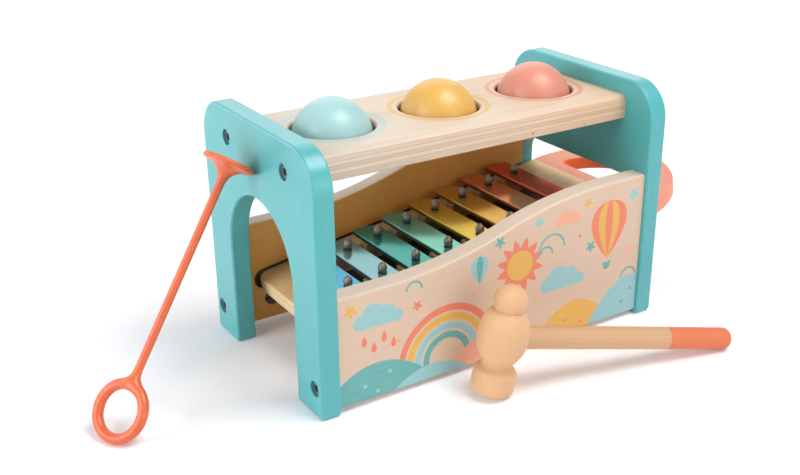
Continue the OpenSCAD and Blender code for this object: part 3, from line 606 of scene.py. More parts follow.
@shader_group("Turned Wood", Vector=None, Ring=0.0022, Rings=0.15, Light=(0.9, 0.6, 0.3),
              Dark=(0.7, 0.4, 0.2))
def turned_wood_group(n, g):
    """Solid wood: growth rings as distances from a pith line, bent by noise, with fine pores along it."""
    at = g["Vector"]
    across, up = n.split(at)[1:]
    wobble = n.noise(at * (9.0, 40.0, 40.0), 1.0, 2.0) * 0.01
    radius = n.length(0.0, across + 0.021, up + 0.047) + wobble
    wave = n.math("FRACT", radius / g["Ring"])
    ring = n.window(wave, 0.45, 1.0, 0.96, 1.0)
    pores = n.noise(at * (130.0, 1500.0, 1500.0), 1.0, 3.0, 0.6)
    cloud = n.noise(at * (16.0, 50.0, 50.0), 1.0, 2.0)
    amount = n.math("ADD", ring * g["Rings"], n.remap(pores, 0.45, 0.75, 0.0, 0.22)
                    + n.remap(cloud, 0.3, 0.8, 0.0, 0.4), clamp=True)
    return {"Color": n.mix(amount, g["Light"], g["Dark"]), "Height": pores,
            "Roughness": n.remap(pores, 0.3, 0.8, 0.50, 0.62)}


@shader_group("Paint Film", Vector=None, Paint=(0.1, 0.5, 0.5), Drift=0.08, Gloss=0.34)
def paint_group(n, g):
    """A paint film: a slow drift of its shade, a little lighter where it thins, and a fine orange peel."""
    at = g["Vector"]
    slow = n.noise(at, 28.0, 2.0)
    fine = n.noise(at, 1400.0, 2.0, 0.6)
    grain = n.noise(at * (600.0, 600.0, 45.0), 1.0, 2.0)
    lighter = n.mix(0.25, g["Paint"], (1.0, 1.0, 1.0))
    darker = n.mix(0.35, g["Paint"], (0.0, 0.0, 0.0))
    colour = n.mix(n.remap(slow, 0.35, 0.7) * g["Drift"], g["Paint"], darker)
    return {"Color": n.mix(n.remap(grain, 0.5, 0.8) * g["Drift"], colour, lighter),
            "Height": fine * 0.6 + grain * 0.4,
            "Roughness": g["Gloss"] + n.remap(slow, 0.3, 0.7, -0.03, 0.05)}


PLACE = {"X": 0.0, "Z": 0.0, "At_X": 0.0, "At_Z": 0.0}


@shader_group("Print Disc", **PLACE, R=5.0)
def disc_group(n, g):
    """A disc: the radius less the distance from its centre."""
    far = n.length(g["X"] - g["At X"], g["Z"] - g["At Z"])
    return {"Mask": n.soft_step(g["R"] - far)}


@shader_group("Print Band", **PLACE, R=20.0, Width=4.0, Drop=0.0)
def band_group(n, g):
    """A band of a circle: half its width less the distance from the circle, above its centre's height
    lowered by Drop."""
    dz = g["Z"] - g["At Z"]
    far = n.length(g["X"] - g["At X"], dz)
    band = g["Width"] * 0.5 - abs(far - g["R"])
    return {"Mask": n.soft_step(n.math("MINIMUM", band, dz + g["Drop"]))}


@shader_group("Print Star", **PLACE, Inner=4.0, Outer=8.0, Points=5.0, Turn=0.0)
def star_group(n, g):
    """A star: the edge's distance swings between two radii as a triangle wave of the angle."""
    dx, dz = g["X"] - g["At X"], g["Z"] - g["At Z"]
    turn = n.math("ARCTAN2", dz, dx) / (2 * math.pi) + (g["Turn"] + 1.0)
    wave = n.math("PINGPONG", turn * (g["Points"] * 2.0), 1.0)
    edge = g["Inner"] + (g["Outer"] - g["Inner"]) * wave
    return {"Mask": n.soft_step(edge - n.length(dx, dz))}


@shader_group("Print Drop", **PLACE, R=3.0, Height=9.0)
def drop_group(n, g):
    """A drop that hangs from a point, or stands on it when Height is below 0.

    At the share t of its height, its half width is R t sqrt(1 - t) / 0.385. Across puts out the place
    between the middle, 0, and the edge, 1."""
    t = (g["At Z"] - g["Z"]) / g["Height"]
    inside = (t > 0.0) * (t < 1.0)
    root = n.math("SQRT", n.math("MAXIMUM", 1.0 - t, 0.0))
    half = g["R"] * 2.6 * (n.math("MAXIMUM", t, 0.0) * root)
    dx = abs(g["X"] - g["At X"])
    return {"Mask": inside * n.soft_step(half - dx), "Across": dx / n.math("MAXIMUM", half, 0.01)}


@shader_group("Print Cloud", **PLACE, R=6.0)
def cloud_group(n, g):
    """A cloud: the union of four discs over a flat foot, sized by R."""
    dx = (g["X"] - g["At X"]) / g["R"]
    dz = (g["Z"] - g["At Z"]) / g["R"]
    best = None
    for cx, cz, r in ((-1.5, 0.55, 0.72), (-0.45, 1.05, 1.0), (0.75, 0.85, 0.8), (1.7, 0.45, 0.55)):
        far = r - n.vector("DISTANCE", n.combine(dx, dz, 0.0), (cx, cz, 0.0))
        best = far if best is None else n.math("MAXIMUM", best, far)
    slab = n.math("MINIMUM", 1.75 - abs(dx - 0.1), 0.5 - dz)
    best = n.math("MINIMUM", n.math("MAXIMUM", best, slab), dz)
    return {"Mask": n.soft_step(best * g["R"])}


@shader_group("Print Hill", **PLACE, Half_Width=40.0, Height=20.0)
def hill_group(n, g):
    """A hill: its height times one less the square of the share of its half width, above the foot."""
    share = (g["X"] - g["At X"]) / g["Half Width"]
    edge = g["Height"] * (1.0 - share * share)
    return {"Mask": n.soft_step(g["At Z"] + edge - g["Z"])}


@shader_group("Sky Print", X=0.0, Z=0.0)
def print_group(n, g):
    """The panel's print: sky motifs in flat inks, laid one over the other. Puts out the ink and its mask."""
    disc, band, star, drop = disc_group(), band_group(), star_group(), drop_group()
    cloud, hill = cloud_group(), hill_group()
    colour, covered = rgba((0.8, 0.6, 0.4)), 0.0

    def lay(mask, name):
        nonlocal colour, covered
        colour = n.mix(mask, colour, getattr(colours(), "ink_" + name))
        covered = n.math("MAXIMUM", covered, mask)

    def motif(tree, x, z, name, **values):
        found = n.group(tree, X=g["X"], Z=g["Z"], At_X=x, At_Z=z, **values)
        if name:
            lay(found["Mask"], name)
        return found

    for r, name in ((31.0, "coral"), (25.4, "mustard"), (19.8, "aqua"), (14.2, "teal")):
        motif(band, 82.0, 14.0, name, R=r, Width=4.2, Drop=20.0)
    motif(star, 133.0, 58.0, "coral", Inner=11.0, Outer=17.5, Points=12.0)
    motif(disc, 133.0, 58.0, "mustard", R=9.4)
    motif(cloud, 37.0, 47.0, "aqua", R=7.0)
    motif(cloud, 166.0, 35.0, "aqua", R=7.6)
    motif(cloud, 168.0, 76.0, "salmon", R=4.6)
    for dx, dz in ((-9.0, 0.0), (-3.0, -5.0), (3.5, 0.0), (9.5, -5.0)):
        motif(drop, 37.0 + dx, 43.0 + dz, "coral", R=1.7, Height=6.5)
    envelope = motif(drop, 201.0, 46.0, None, R=14.5, Height=-38.0)
    stripe = n.math("PINGPONG", envelope["Across"] * 2.6, 1.0)
    lay(envelope["Mask"], "coral")
    lay(envelope["Mask"] * (stripe > 0.5), "mustard")
    for x in (198.6, 203.4):
        motif(band, x, 43.0, "teal", R=0.6, Width=0.9, Drop=3.4)
    motif(disc, 201.0, 41.0, "teal", R=2.6)
    small = motif(drop, 104.0, 54.0, None, R=6.2, Height=-17.0)
    lay(small["Mask"], "aqua")
    lay(small["Mask"] * (small["Across"] < 0.36), "teal")
    motif(disc, 104.0, 51.4, "salmon", R=1.5)
    for x, z, r in ((152.0, 60.0, 5.0), (156.5, 62.5, 9.5), (220.0, 29.0, 6.0), (60.0, 62.0, 5.0)):
        motif(band, x, z, "teal", R=r, Width=1.3, Drop=0.0)
    for x, name, half, height in ((36.0, "teal", 42.0, 25.0), (118.0, "salmon", 46.0, 22.0),
                                  (176.0, "mustard", 34.0, 24.0), (222.0, "aqua", 36.0, 30.0),
                                  (72.0, "aqua", 30.0, 13.0)):
        motif(hill, x, 0.0, name, Half_Width=half, Height=height)
    for x, z, r, name in ((20.0, 60.0, 3.4, "mustard"), (62.0, 52.0, 2.6, "coral"),
                          (118.0, 76.0, 3.0, "teal"), (187.0, 57.0, 3.0, "teal"),
                          (220.0, 84.0, 3.6, "aqua"), (183.0, 86.0, 2.6, "mustard"),
                          (146.0, 82.0, 3.0, "aqua"), (219.0, 47.0, 2.8, "salmon")):
        motif(star, x, z, name, Inner=r * 0.5, Outer=r * 1.35, Points=5.0, Turn=-0.05)
    for name, *places in (("aqua", (28.0, 12.0), (44.0, 17.0), (36.0, 7.0)),
                          ("coral", (112.0, 9.0), (126.0, 14.0), (170.0, 12.0), (182.0, 8.0)),
                          ("teal", (216.0, 12.0), (223.0, 20.0)), ("mustard", (50.0, 34.0)),
                          ("salmon", (148.0, 34.0)), ("coral", (178.0, 66.0))):
        for x, z in places:
            motif(disc, x, z, name, R=1.25)
    return {"Color": colour, "Mask": covered}


def plywood(n, at, ply, light=None, dark=None, lines=1.0):
    """Plywood at a vector that runs along its grain, across it and into its depth."""
    c = colours()
    return n.group(plywood_group(), Vector=at, Ply=ply, Light=light or c.wood_light,
                   Dark=dark or c.wood_dark, Lines=lines)


def beech(n, at, share=1.0, **values):
    """Turned beech at a vector that runs along its grain first, in the panel's colours times a share."""
    c = colours()
    return n.group(turned_wood_group(), Vector=at, Light=scaled(c.beech_light, share),
                   Dark=scaled(c.beech_dark, share), **values)


def paint_film(n, at, paint, drift, gloss):
    """A paint film at a vector, whose noise is stretched along the third axis."""
    return n.group(paint_group(), Vector=at, Paint=paint, Drift=drift, Gloss=gloss)


def new_material(name):
    """A material with its tree helper, its Principled shader and no other node but the output."""
    material = bpy.data.materials.new(name)
    material.use_nodes = True
    n = Nodes(material.node_tree)
    return material, n, n.tree.nodes["Principled BSDF"]


def finish_wood(n, shader, wood, bump=0.00004, colour=None):
    """Links wood, in its own colour or another, to the shader of a lightly lacquered surface."""
    n.dress(shader, colour or wood["Color"], wood["Roughness"], wood["Height"], bump)
    shader.inputs["Specular IOR Level"].default_value = 0.35


def paint_material(name, colour, gloss, coat, drift, bump=0.00002, metal=0.0):
    """Paint on wood, or a clear tinted film on metal: the material, its helper, shader and colour."""
    material, n, shader = new_material(name)
    film = paint_film(n, n.mapped(), colour, drift, gloss)
    n.dress(shader, film["Color"], film["Roughness"], film["Height"], bump)
    shader.inputs["Coat Weight"].default_value = coat
    shader.inputs["Coat Roughness"].default_value = 0.22
    shader.inputs["Metallic"].default_value = metal
    return material, n, shader, film["Color"]


def metal_material(name, colour, rough, bump=0.00003):
    """Zinc plated steel with fine spangle and turning marks."""
    material, n, shader = new_material(name)
    fine = n.noise(n.mapped(), 2600.0, 3.0)
    n.dress(shader, n.mix(n.remap(fine, 0.35, 0.7, 0.0, 0.5), colour, scaled(colour, 0.6)),
            n.remap(fine, 0.3, 0.7, rough, rough + 0.16), fine, bump)
    shader.inputs["Metallic"].default_value = 1.0
    return material


def dull_material(name, colour, scale, bump, rough, sheen=0.0):
    """Rubber or felt: a grainy colour and bump."""
    material, n, shader = new_material(name)
    fine = n.noise(n.mapped(), scale, 4.0, 0.7)
    n.dress(shader, n.mix(n.remap(fine, 0.3, 0.75), scaled(colour, 0.72), scaled(colour, 1.35)),
            n.remap(fine, 0.3, 0.7, rough - 0.08, rough + 0.08), fine, bump)
    shader.inputs["Sheen Weight"].default_value = sheen
    return material


# ---------------------------------------------------------------- pieces

class BENCH_OT_ends(bpy.types.Operator):
    """Makes both painted end panels with their arches, window, bolt holes and rounded edges"""

    bl_idname = "bench.ends"
    bl_label = "End Panels"

    def execute(self, context):
        r = sizes().edge_round / MM
        w, foot, top = BENCH_W / 2, ARCH_HALF, 22.0
        paint = paint_material("turquoise_paint", colours().ends, gloss=0.38, coat=0.38, drift=0.10)[0]
        rim, bore = edge_profile(END_T, r, r), edge_profile(END_T, 0.25, 0.25, 3)
        for name, x0, arch, arch_r in (("left_end", 0.0, ARCH_TOP, foot * WIDEST),
                                       ("right_end", BENCH_L - END_T, 38.0, 18.0)):
            corners = [(-w, 0), (-foot, 0), (-foot, arch), (foot, arch), (foot, 0), (w, 0),
                       (w, BENCH_H), (-w, BENCH_H)]
            radii = [3, 2.4, arch_r, arch_r, 2.4, 3, top, top]
            loops = [(*rounded_loop(corners, radii), rim, "through")]
            for y, z in BOLTS:
                for side in (-1, 1):
                    loops.append((*round_hole((side * y, z), BOLT_HOLE_R, 48), bore, "through"))
            if name == "right_end":
                half, z0 = TRAY_HALF + 1, WINDOW_LOW
                z1 = tray_z(BENCH_L + PIN_R) + BAR_STACK + PIN_H + WINDOW_PLAY
                window = rounded_loop([(-half, z0), (-half, z1), (half, z1), (half, z0)], [4, 13, 13, 4])
                loops.append((*window, edge_profile(END_T, 0.8, 0.8), "through"))
            stand = [[0, 0, 1, x0], [1, 0, 0, 0], [0, 1, 0, 0], [0, 0, 0, 1]]
            make_piece(name + "_panel", moved(plate(loops), stand), paint, "bench", [name], "end_paint")
        return {"FINISHED"}


class BENCH_OT_top_board(bpy.types.Operator):
    """Makes the plywood top board with its round holes, rounded long edges and painted rings"""

    bl_idname = "bench.top_board"
    bl_label = "Top Board"

    def execute(self, context):
        x0, x1, half, foot = END_T, BENCH_L - END_T, BOARD_W / 2, BOARD_TOP - BOARD_T
        sides = np.array([(x0, -half), (x1, -half), (x1, half), (x0, half)])
        outwards = np.array([(0, -1), (0, -1), (0, 1), (0, 1)], float)
        long_edge, hole_edge = (2.0, 5.0), (0.6, 1.75)
        loops = [(sides, outwards, edge_profile(BOARD_T, *long_edge, 10), "through")]
        hole = edge_profile(BOARD_T, *hole_edge, 8)
        a, groove_r = np.linspace(-math.pi / 2, math.pi / 2, 15), RING_R + 0.1
        depth = RING_MID_R + groove_r * np.cos(a) - HOLE_R
        groove = np.stack([depth, RING_Z - foot + groove_r * np.sin(a), np.cos(a), -np.sin(a)], 1)[depth > 0]
        hole = np.concatenate([hole[:4], groove, hole[-9:]])
        hole = hole[np.argsort(hole[:, 1], kind="stable")]
        for x in BALL_XS:
            loops.append((*round_hole((x, 0.0), HOLE_R, 128), hole, "through"))
        bore = edge_profile(NUT_BORE, 0.3, 0.0, 3)[:5]
        for x in (x0 + NUT_X, x1 - NUT_X):
            for y in (-BOLTS[0][0], BOLTS[0][0]):
                loops.append((*round_hole((x, y), NUT_R, 40), bore, "low"))
        surface = moved(plate(loops), shifted(0, 0, foot))
        make_piece("top_board_ply", surface, self.material(), "bench", ["top_board"], "board_wood")
        return {"FINISHED"}

    def material(self):
        """Plywood with three rings of thin paint: each covers distances between two radii of its hole."""
        s, c = sizes(), colours()
        material, n, shader = new_material("birch_board")
        at = n.mapped(spot(0.0, 0.0, BOARD_TOP), FACE_DOWN)
        x, y, depth = n.split(at)
        wood = plywood(n, at, BOARD_T * MM / 7)
        warmth = n.mix(n.remap(x, 0.04, 0.22), (0.93, 1.0, 1.02), (0.97, 0.87, 0.76))
        colour = n.mix(1.0, wood["Color"], warmth, "MULTIPLY")
        for ball_x, paint in zip(BALL_XS, (c.ball_left, c.ball_middle, c.ball_right)):
            far = n.length(x - ball_x * MM, y)
            band = n.math("MINIMUM", far - s.ring_in, s.ring_out - far)
            colour = n.mix(n.soft_step(band, 8000.0) * (depth < 0.001) * 0.72, colour, paint)
        finish_wood(n, shader, wood, colour=colour)
        return material


def side_outline():
    """Corners and radii of a side panel with its wave, whose two arcs are roundings of two corners."""
    length, rise = WAVE_X1 - WAVE_X0, SIDE_HIGH - SIDE_LOW
    half = math.atan(rise / length)
    r = length / 2 / math.sin(2 * half)
    reach = r * math.tan(half)
    x0, x1 = END_T, BENCH_L - END_T
    corners = [(x0, SIDE_LIFT), (x1, SIDE_LIFT), (x1, SIDE_HIGH), (WAVE_X1 - reach, SIDE_HIGH),
               (WAVE_X0 + reach, SIDE_LOW), (x0, SIDE_LOW)]
    return corners, [0, 0, 0, r * WIDEST, r * WIDEST, 0]


class BENCH_OT_side_panels(bpy.types.Operator):
    """Makes both wavy side panels, each with the groove that the tray slides in, and prints the front one"""

    bl_idname = "bench.side_panels"
    bl_label = "Side Panels"

    def execute(self, context):
        corners, radii = side_outline()
        rim = edge_profile(SIDE_T - GROOVE_DEPTH, 0.0, sizes().panel_round / MM)
        body = plate([(*self.level_ends(corners, radii), rim, "through")])
        x1, slope = BENCH_L - END_T, math.tan(TILT)
        mid = tray_to_bench([(TRAY_U0 + GROOVE_U, 0.0, GROOVE_W)])[0, ::2]
        along, up = GROOVE_R * np.array([(math.cos(TILT), math.sin(TILT)), (-math.sin(TILT), math.cos(TILT))])
        low, high = mid - up, mid + up
        inner = [*corners[:2], (x1, low[1] + (x1 - low[0]) * slope), tuple(low - along), tuple(high - along),
                 (x1, high[1] + (x1 - high[0]) * slope), *corners[2:]]
        inner_r = [0, 0, 0, GROOVE_R * WIDEST, GROOVE_R * WIDEST, 0, *radii[2:]]
        loops = [(*self.level_ends(inner, inner_r), edge_profile(GROOVE_DEPTH, 0.9, 0.0), "through")]
        bore = edge_profile(GROOVE_DEPTH, 0.3, 0.0, 3)
        for x in (END_T + NUT_X, x1 - NUT_X):
            loops.append((*round_hole((x, BOLTS[1][1]), NUT_R, 40), bore, "through"))
        skin = plate(loops)
        for name, side in (("front_panel", -1), ("rear_panel", 1)):
            surface = joined([self.stood(body, side, SIDE_IN + GROOVE_DEPTH),
                              self.stood(skin, side, SIDE_IN)])
            make_piece(name + "_ply", surface, self.material(name, side), "bench", [name], name + "_wood")
        return {"FINISHED"}

    @staticmethod
    def level_ends(corners, radii):
        """The outline, its end faces' normals set level, so that they stay flush with the end panels."""
        pts, nrm = rounded_loop(corners, radii, 0.02)
        at_end = (np.abs(pts[:, 0] - END_T) < 0.01) | (np.abs(pts[:, 0] - BENCH_L + END_T) < 0.01)
        m = nrm[at_end, 1]
        nrm[at_end] = np.stack([np.zeros_like(m), (1 + m * m) / (2 * m)], 1)
        return pts, nrm

    @staticmethod
    def stood(surface, side, y0):
        """A plate drawn in X and Z, stood with its upper side outwards: y is side times (y0 + height)."""
        stand = [[1, 0, 0, 0], [0, 0, side, side * y0], [0, 1, 0, 0], [0, 0, 0, 1]]
        verts, norms, quads, tris = moved(surface, stand)
        return (verts, norms, quads[:, ::-1], tris[:, ::-1]) if side > 0 else (verts, norms, quads, tris)

    def material(self, name, side):
        """Plywood whose depth runs inwards from the outer face; the front one carries the print."""
        face = spot(0.0, side * SIDE_OUT, 0.0)
        material, n, shader = new_material(name.replace("panel", "birch"))
        at = n.mapped(face, (side * math.pi / 2, 0, 0))
        ply = plywood(n, at, SIDE_T * MM / 7, dark=(0.700, 0.550, 0.440), lines=0.32)
        depth = n.split(at)[2]
        x, y, z = n.split(n.mapped(face))
        wood = n.mix(n.remap(depth, 0.0003, 0.0010, 1.0, 0.0), ply["Color"], (0.93, 0.84, 0.77), "MULTIPLY")
        # Painted shade: the inner face is tinted darker and a deeper orange, standing in for the shade and
        # warm bounced light inside the bench.
        wood = n.mix(n.remap(depth, 0.0112, 0.0118), wood, (1.06, 0.66, 0.205), "MULTIPLY")
        # Painted shade: the groove's walls and floor are darkened to a dark brown, standing in for the shade
        # in the groove and the shadow gap above the tray.
        level = z - x * math.tan(TILT)
        high, low = (TRAY_RISE + 3.0) * MM, (TRAY_RISE - TRAY_T - 4.0) * MM
        groove = (level < high) * (level > low) * ((depth > 0.0086) * (depth < 0.01195))
        wood = n.mix(groove, wood, (0.135, 0.082, 0.044))
        if side < 0:
            sky = n.group(print_group(), X=x * 1000.0, Z=z * 1000.0)
            worn = n.remap(n.noise(n.combine(x * 60.0, z, z * 900.0), 1.0, 3.0), 0.3, 0.75, 0.96, 0.78)
            wood = n.mix(sky["Mask"] * worn * (y < 0.0008), wood, sky["Color"])
        finish_wood(n, shader, ply, colour=wood)
        return material


class BENCH_OT_balls(bpy.types.Operator):
    """Makes the three painted balls and gives their grip rings black rubber"""

    bl_idname = "bench.balls"
    bl_label = "Balls and Grip Rings"

    def execute(self, context):
        c = colours()
        profile = BALL_R * rays(np.linspace(math.pi, 0, 97))
        profile[0, 1] = profile[-1, 1] = 0.0
        for name, x, paint, slot in zip(("left", "middle", "right"), BALL_XS,
                                        (c.ball_left, c.ball_middle, c.ball_right),
                                        ("ball_mint", "ball_yellow", "ball_coral")):
            surface = moved(lathe(profile, 128), shifted(x, 0, BALL_Z) @ turned("Y", -78) @ turned("X", x))
            material = paint_material(f"ball_paint_{name}", paint, gloss=0.38, coat=0.1, drift=0.05)[0]
            make_piece(f"ball_{name}_painted", surface, material, f"ball_{name}", [f"ball_{name}"], slot)
        dress(["grip_ring_left", "grip_ring_middle", "grip_ring_right"],
              dull_material("ring_rubber_black", (0.020, 0.018, 0.018), 900.0, 0.00003, 0.7))
        return {"FINISHED"}


class BENCH_OT_fasteners(bpy.types.Operator):
    """Gives the bolts zinc plating, the barrel nuts near-black steel as painted shade of their holes, and the
    dowels bare beech
    """

    bl_idname = "bench.fasteners"
    bl_label = "Bolts, Nuts and Dowels"

    def execute(self, context):
        dress(["end_bolts"], metal_material("zinc_plate", (0.30, 0.31, 0.33), 0.30))
        # Painted shade: the barrel nuts are near black, standing in for the shade in the holes they sit in.
        dress(["barrel_nuts"], metal_material("nut_steel", (0.10, 0.09, 0.085), 0.42))
        material, n, shader = new_material("dowel_beech")
        finish_wood(n, shader, beech(n, n.mapped()))
        dress(["locating_dowels"], material)
        return {"FINISHED"}


class BENCH_OT_tray(bpy.types.Operator):
    """Makes the sliding tray with its rounded handle, hand slot and painted end"""

    bl_idname = "bench.tray"
    bl_label = "Tray"

    def execute(self, context):
        r = sizes().tray_round / MM
        middle, half = TRAY_U1 - TRAY_HALF, TRAY_HALF
        ray = rays(np.linspace(-math.pi / 2, math.pi / 2, 97))
        corners, normals = rounded_loop([(TRAY_U0, half), (TRAY_U0, -half), (TRAY_U0 + 60, -half),
                                         (TRAY_U0 + 60, half)], [9.5, 9.5, 0.01, 0.01])
        split = int(np.argmax(corners[:, 0] >= TRAY_U0 + 30))
        outline = np.concatenate([corners[:split], [middle, 0] + half * ray])
        outwards = np.concatenate([normals[:split], ray])
        slot_u, far_r, corner_r = PAINT_U + 9.4, half - 17.0, 5.0
        cu = slot_u + corner_r - middle
        cv = math.sqrt((far_r - corner_r) ** 2 - cu ** 2)
        lean = math.atan2(cv, cu)
        small, wide = rays(np.linspace(lean, math.pi, 25)), rays(np.linspace(-lean, lean, 73)[1:-1])
        upper = np.array([middle + cu, cv]) + corner_r * small
        slot = np.concatenate([upper, (upper * [1, -1])[::-1], [middle, 0] + far_r * wide])[::-1]
        inwards = -np.concatenate([small, (small * [1, -1])[::-1], wide])[::-1]
        rim = edge_profile(TRAY_T, r, r)
        verts, norms, *faces = plate([(outline, outwards, rim, "through"), (slot, inwards, rim, "through")])
        verts = tray_to_bench(verts - [0, 0, TRAY_T])
        norms = tray_to_bench(norms) - tray_to_bench([(0, 0, 0)])
        make_piece("tray_board_ply", (verts, norms, *faces), self.material(), "tray", ["tray_board"],
                   "tray_wood")
        return {"FINISHED"}

    def material(self):
        """Plywood up to a straight line across the tray, and salmon paint beyond it, with painted shade under
        the bars and on the hand slot's wall.
        """
        material, n, shader = new_material("tray_birch")
        at = n.mapped(spot(0.0, 0.0, TRAY_RISE), (0, -TILT, 0))
        u, v, w = n.split(at)
        inward = w * -1.0
        ply = plywood(n, n.combine(u, v, inward), TRAY_T * MM / 5, light=(0.930, 0.740, 0.500),
                      dark=(0.760, 0.540, 0.320))
        film = paint_film(n, at, colours().tray, 0.12, 0.45)
        mask = n.soft_step(u - PAINT_U * MM + n.noise(at, 260.0, 2.0) * 0.0003, 6000.0)
        rim = n.window(inward, 0.0006, 0.0016, 0.0084, 0.0094)
        wood = n.mix(rim, n.mix(1.0, ply["Color"], (1.0, 0.86, 0.62), "MULTIPLY"), ply["Color"])
        # Painted shade: the tray's top between the bars' rails is darkened, standing in for the shade under
        # the bars.
        first, last = (BAR_X0 - BAR_W / 2) * MM, (BAR_X0 + BAR_PITCH * (BARS - 1) + BAR_W / 2) * MM
        reach = n.remap(u, first, last, 0.0135, 0.0235)
        painted_shade_under_bars = n.remap(reach - abs(v), 0.0, 0.001) * n.window(u, first, first + 0.001, last - 0.001, last)
        wood = n.mix(painted_shade_under_bars * 0.9, wood, (0.035, 0.022, 0.014))
        radius = n.length(u - (TRAY_U1 - TRAY_HALF) * MM, v)
        slot = (radius < (TRAY_HALF - 15.5) * MM) * (u > (PAINT_U + 7.4) * MM)
        # Painted shade: the hand slot's wall is multiplied to a deeper orange red, standing in for the shade
        # and bounced light inside the slot.
        painted_slot_shade = slot * n.window(inward, 0.0006, 0.0012, 0.0088, 0.0094)
        paint = n.mix(painted_slot_shade, film["Color"], (1.0, 0.44, 0.20), "MULTIPLY")
        finish_wood(n, shader, ply, colour=n.mix(mask, wood, paint))
        return material


class BENCH_OT_sound_bars(bpy.types.Operator):
    """Makes the eight painted bars and their pins, and dresses rails, felt and grommets"""

    bl_idname = "bench.sound_bars"
    bl_label = "Sound Bars"

    def execute(self, context):
        r, w = sizes().bar_round / MM, BAR_W / 2
        rim, bore = edge_profile(BAR_T, r, r, 4), edge_profile(BAR_T, 0.3, 0.3, 3)
        knots = [(0.0, 0.0), (0.0, 1.5), (0.1, 1.95), (0.5, 2.25), (1.3, 2.55), (2.3, 2.72), (3.4, 2.62),
                 (4.4, 2.22), (5.3, 1.55), (5.95, 0.72), (PIN_H - GROMMET_T, 0.0)]
        pin, pins = lathe(spline(knots, 49), 40), []
        for i in range(BARS):
            x, half = BAR_X0 + BAR_PITCH * i, (BAR_SHORT + (BAR_LONG - BAR_SHORT) * i / (BARS - 1)) / 2
            z = tray_z(x) + BAR_STACK
            corners = [(x - w, -half), (x + w, -half), (x + w, half), (x - w, half)]
            loops = [(*rounded_loop(corners, [BAR_CORNER] * 4), rim, "through")]
            for side in (-1, 1):
                y = side * NODE_SHARE * half
                loops.append((*round_hole((x, y), PIN_HOLE_R, 32), bore, "through"))
                turn = turned("Z", 37.0 * i + 90.0 * side) @ turned("Y", -90)
                pins.append(moved(pin, shifted(x, y, z + GROMMET_T) @ turn))
            surface = moved(plate(loops), shifted(0, 0, z - BAR_T))
            material = self.bar_paint(i + 1, spot(x, 0.0, z))
            make_piece(f"sound_bar_{i + 1}", surface, material, "tray", [f"bar_{i + 1}"],
                       f"bar_{i + 1}_paint")
        grey = metal_material("pin_grey", (0.29, 0.255, 0.225), 0.40, 0.0002)
        make_piece("bar_pins_grey", joined(pins), grey, "tray", ["bar_pins"], "pin_metal")
        # The grommets' dark rubber is their own colour and also stands in as painted shade for the contact
        # shadow at each pin's foot.
        dress(["pin_grommets"],
              dull_material("grommet_rubber_dark", (0.030, 0.045, 0.045), 1200.0, 0.00002, 0.65))
        dress(["felt_front", "felt_rear"],
              dull_material("felt_tan", (0.420, 0.230, 0.090), 1900.0, 0.0003, 0.95, sheen=0.5))
        rail, n, shader = new_material("rail_pine")
        at = n.mapped(spot(0.0, 0.0, TRAY_RISE), (math.pi / 2, 0, 0))
        finish_wood(n, shader, plywood(n, at, 0.0031, (0.80, 0.52, 0.26), (0.60, 0.34, 0.15)))
        dress(["bar_rail_front", "bar_rail_rear"], rail)
        return {"FINISHED"}

    @staticmethod
    def bar_paint(number, top):
        """Tinted film on metal: its highlights take the film's hue, and below the top face it is darkened as
        painted shade on the bar's sides.
        """
        paint = getattr(colours(), f"bar_{number}")
        material, n, shader, film = paint_material(f"bar_paint_{number}", paint, gloss=0.13, coat=0.0,
                                                   drift=0.06, bump=0.00001, metal=0.55)
        hue = np.array(paint[:])
        shader.inputs["Specular Tint"].default_value = (*(0.20 + 0.80 * hue / hue.max()), 1.0)
        # Painted shade: below the top face the bar's sides and underside are darkened.
        depth = n.split(n.mapped(top, FACE_DOWN))[2]
        shaded_sides = n.mix(n.remap(depth, 0.00005, 0.0004), film, (0.42, 0.38, 0.38), "MULTIPLY")
        n.feed(shader.inputs["Base Color"], shaded_sides)
        return material


def mallet_matrix():
    """Stands the mallet on its foot rim and its handle tip, by the same formula as the solids."""
    run, rise = MALLET_L - TIP_R - HEAD_FLAT, HANDLE_Z - FOOT_R - TIP_FLAT
    lean = math.acos((TIP_R - FOOT_R) / math.hypot(run, rise)) - math.atan2(run, rise)
    z = HEAD_FLAT * math.sin(lean) + FOOT_R * (1 - math.cos(lean))
    return shifted(92.9, -92.9, z) @ turned("Z", -13.4) @ turned("Y", math.degrees(lean))


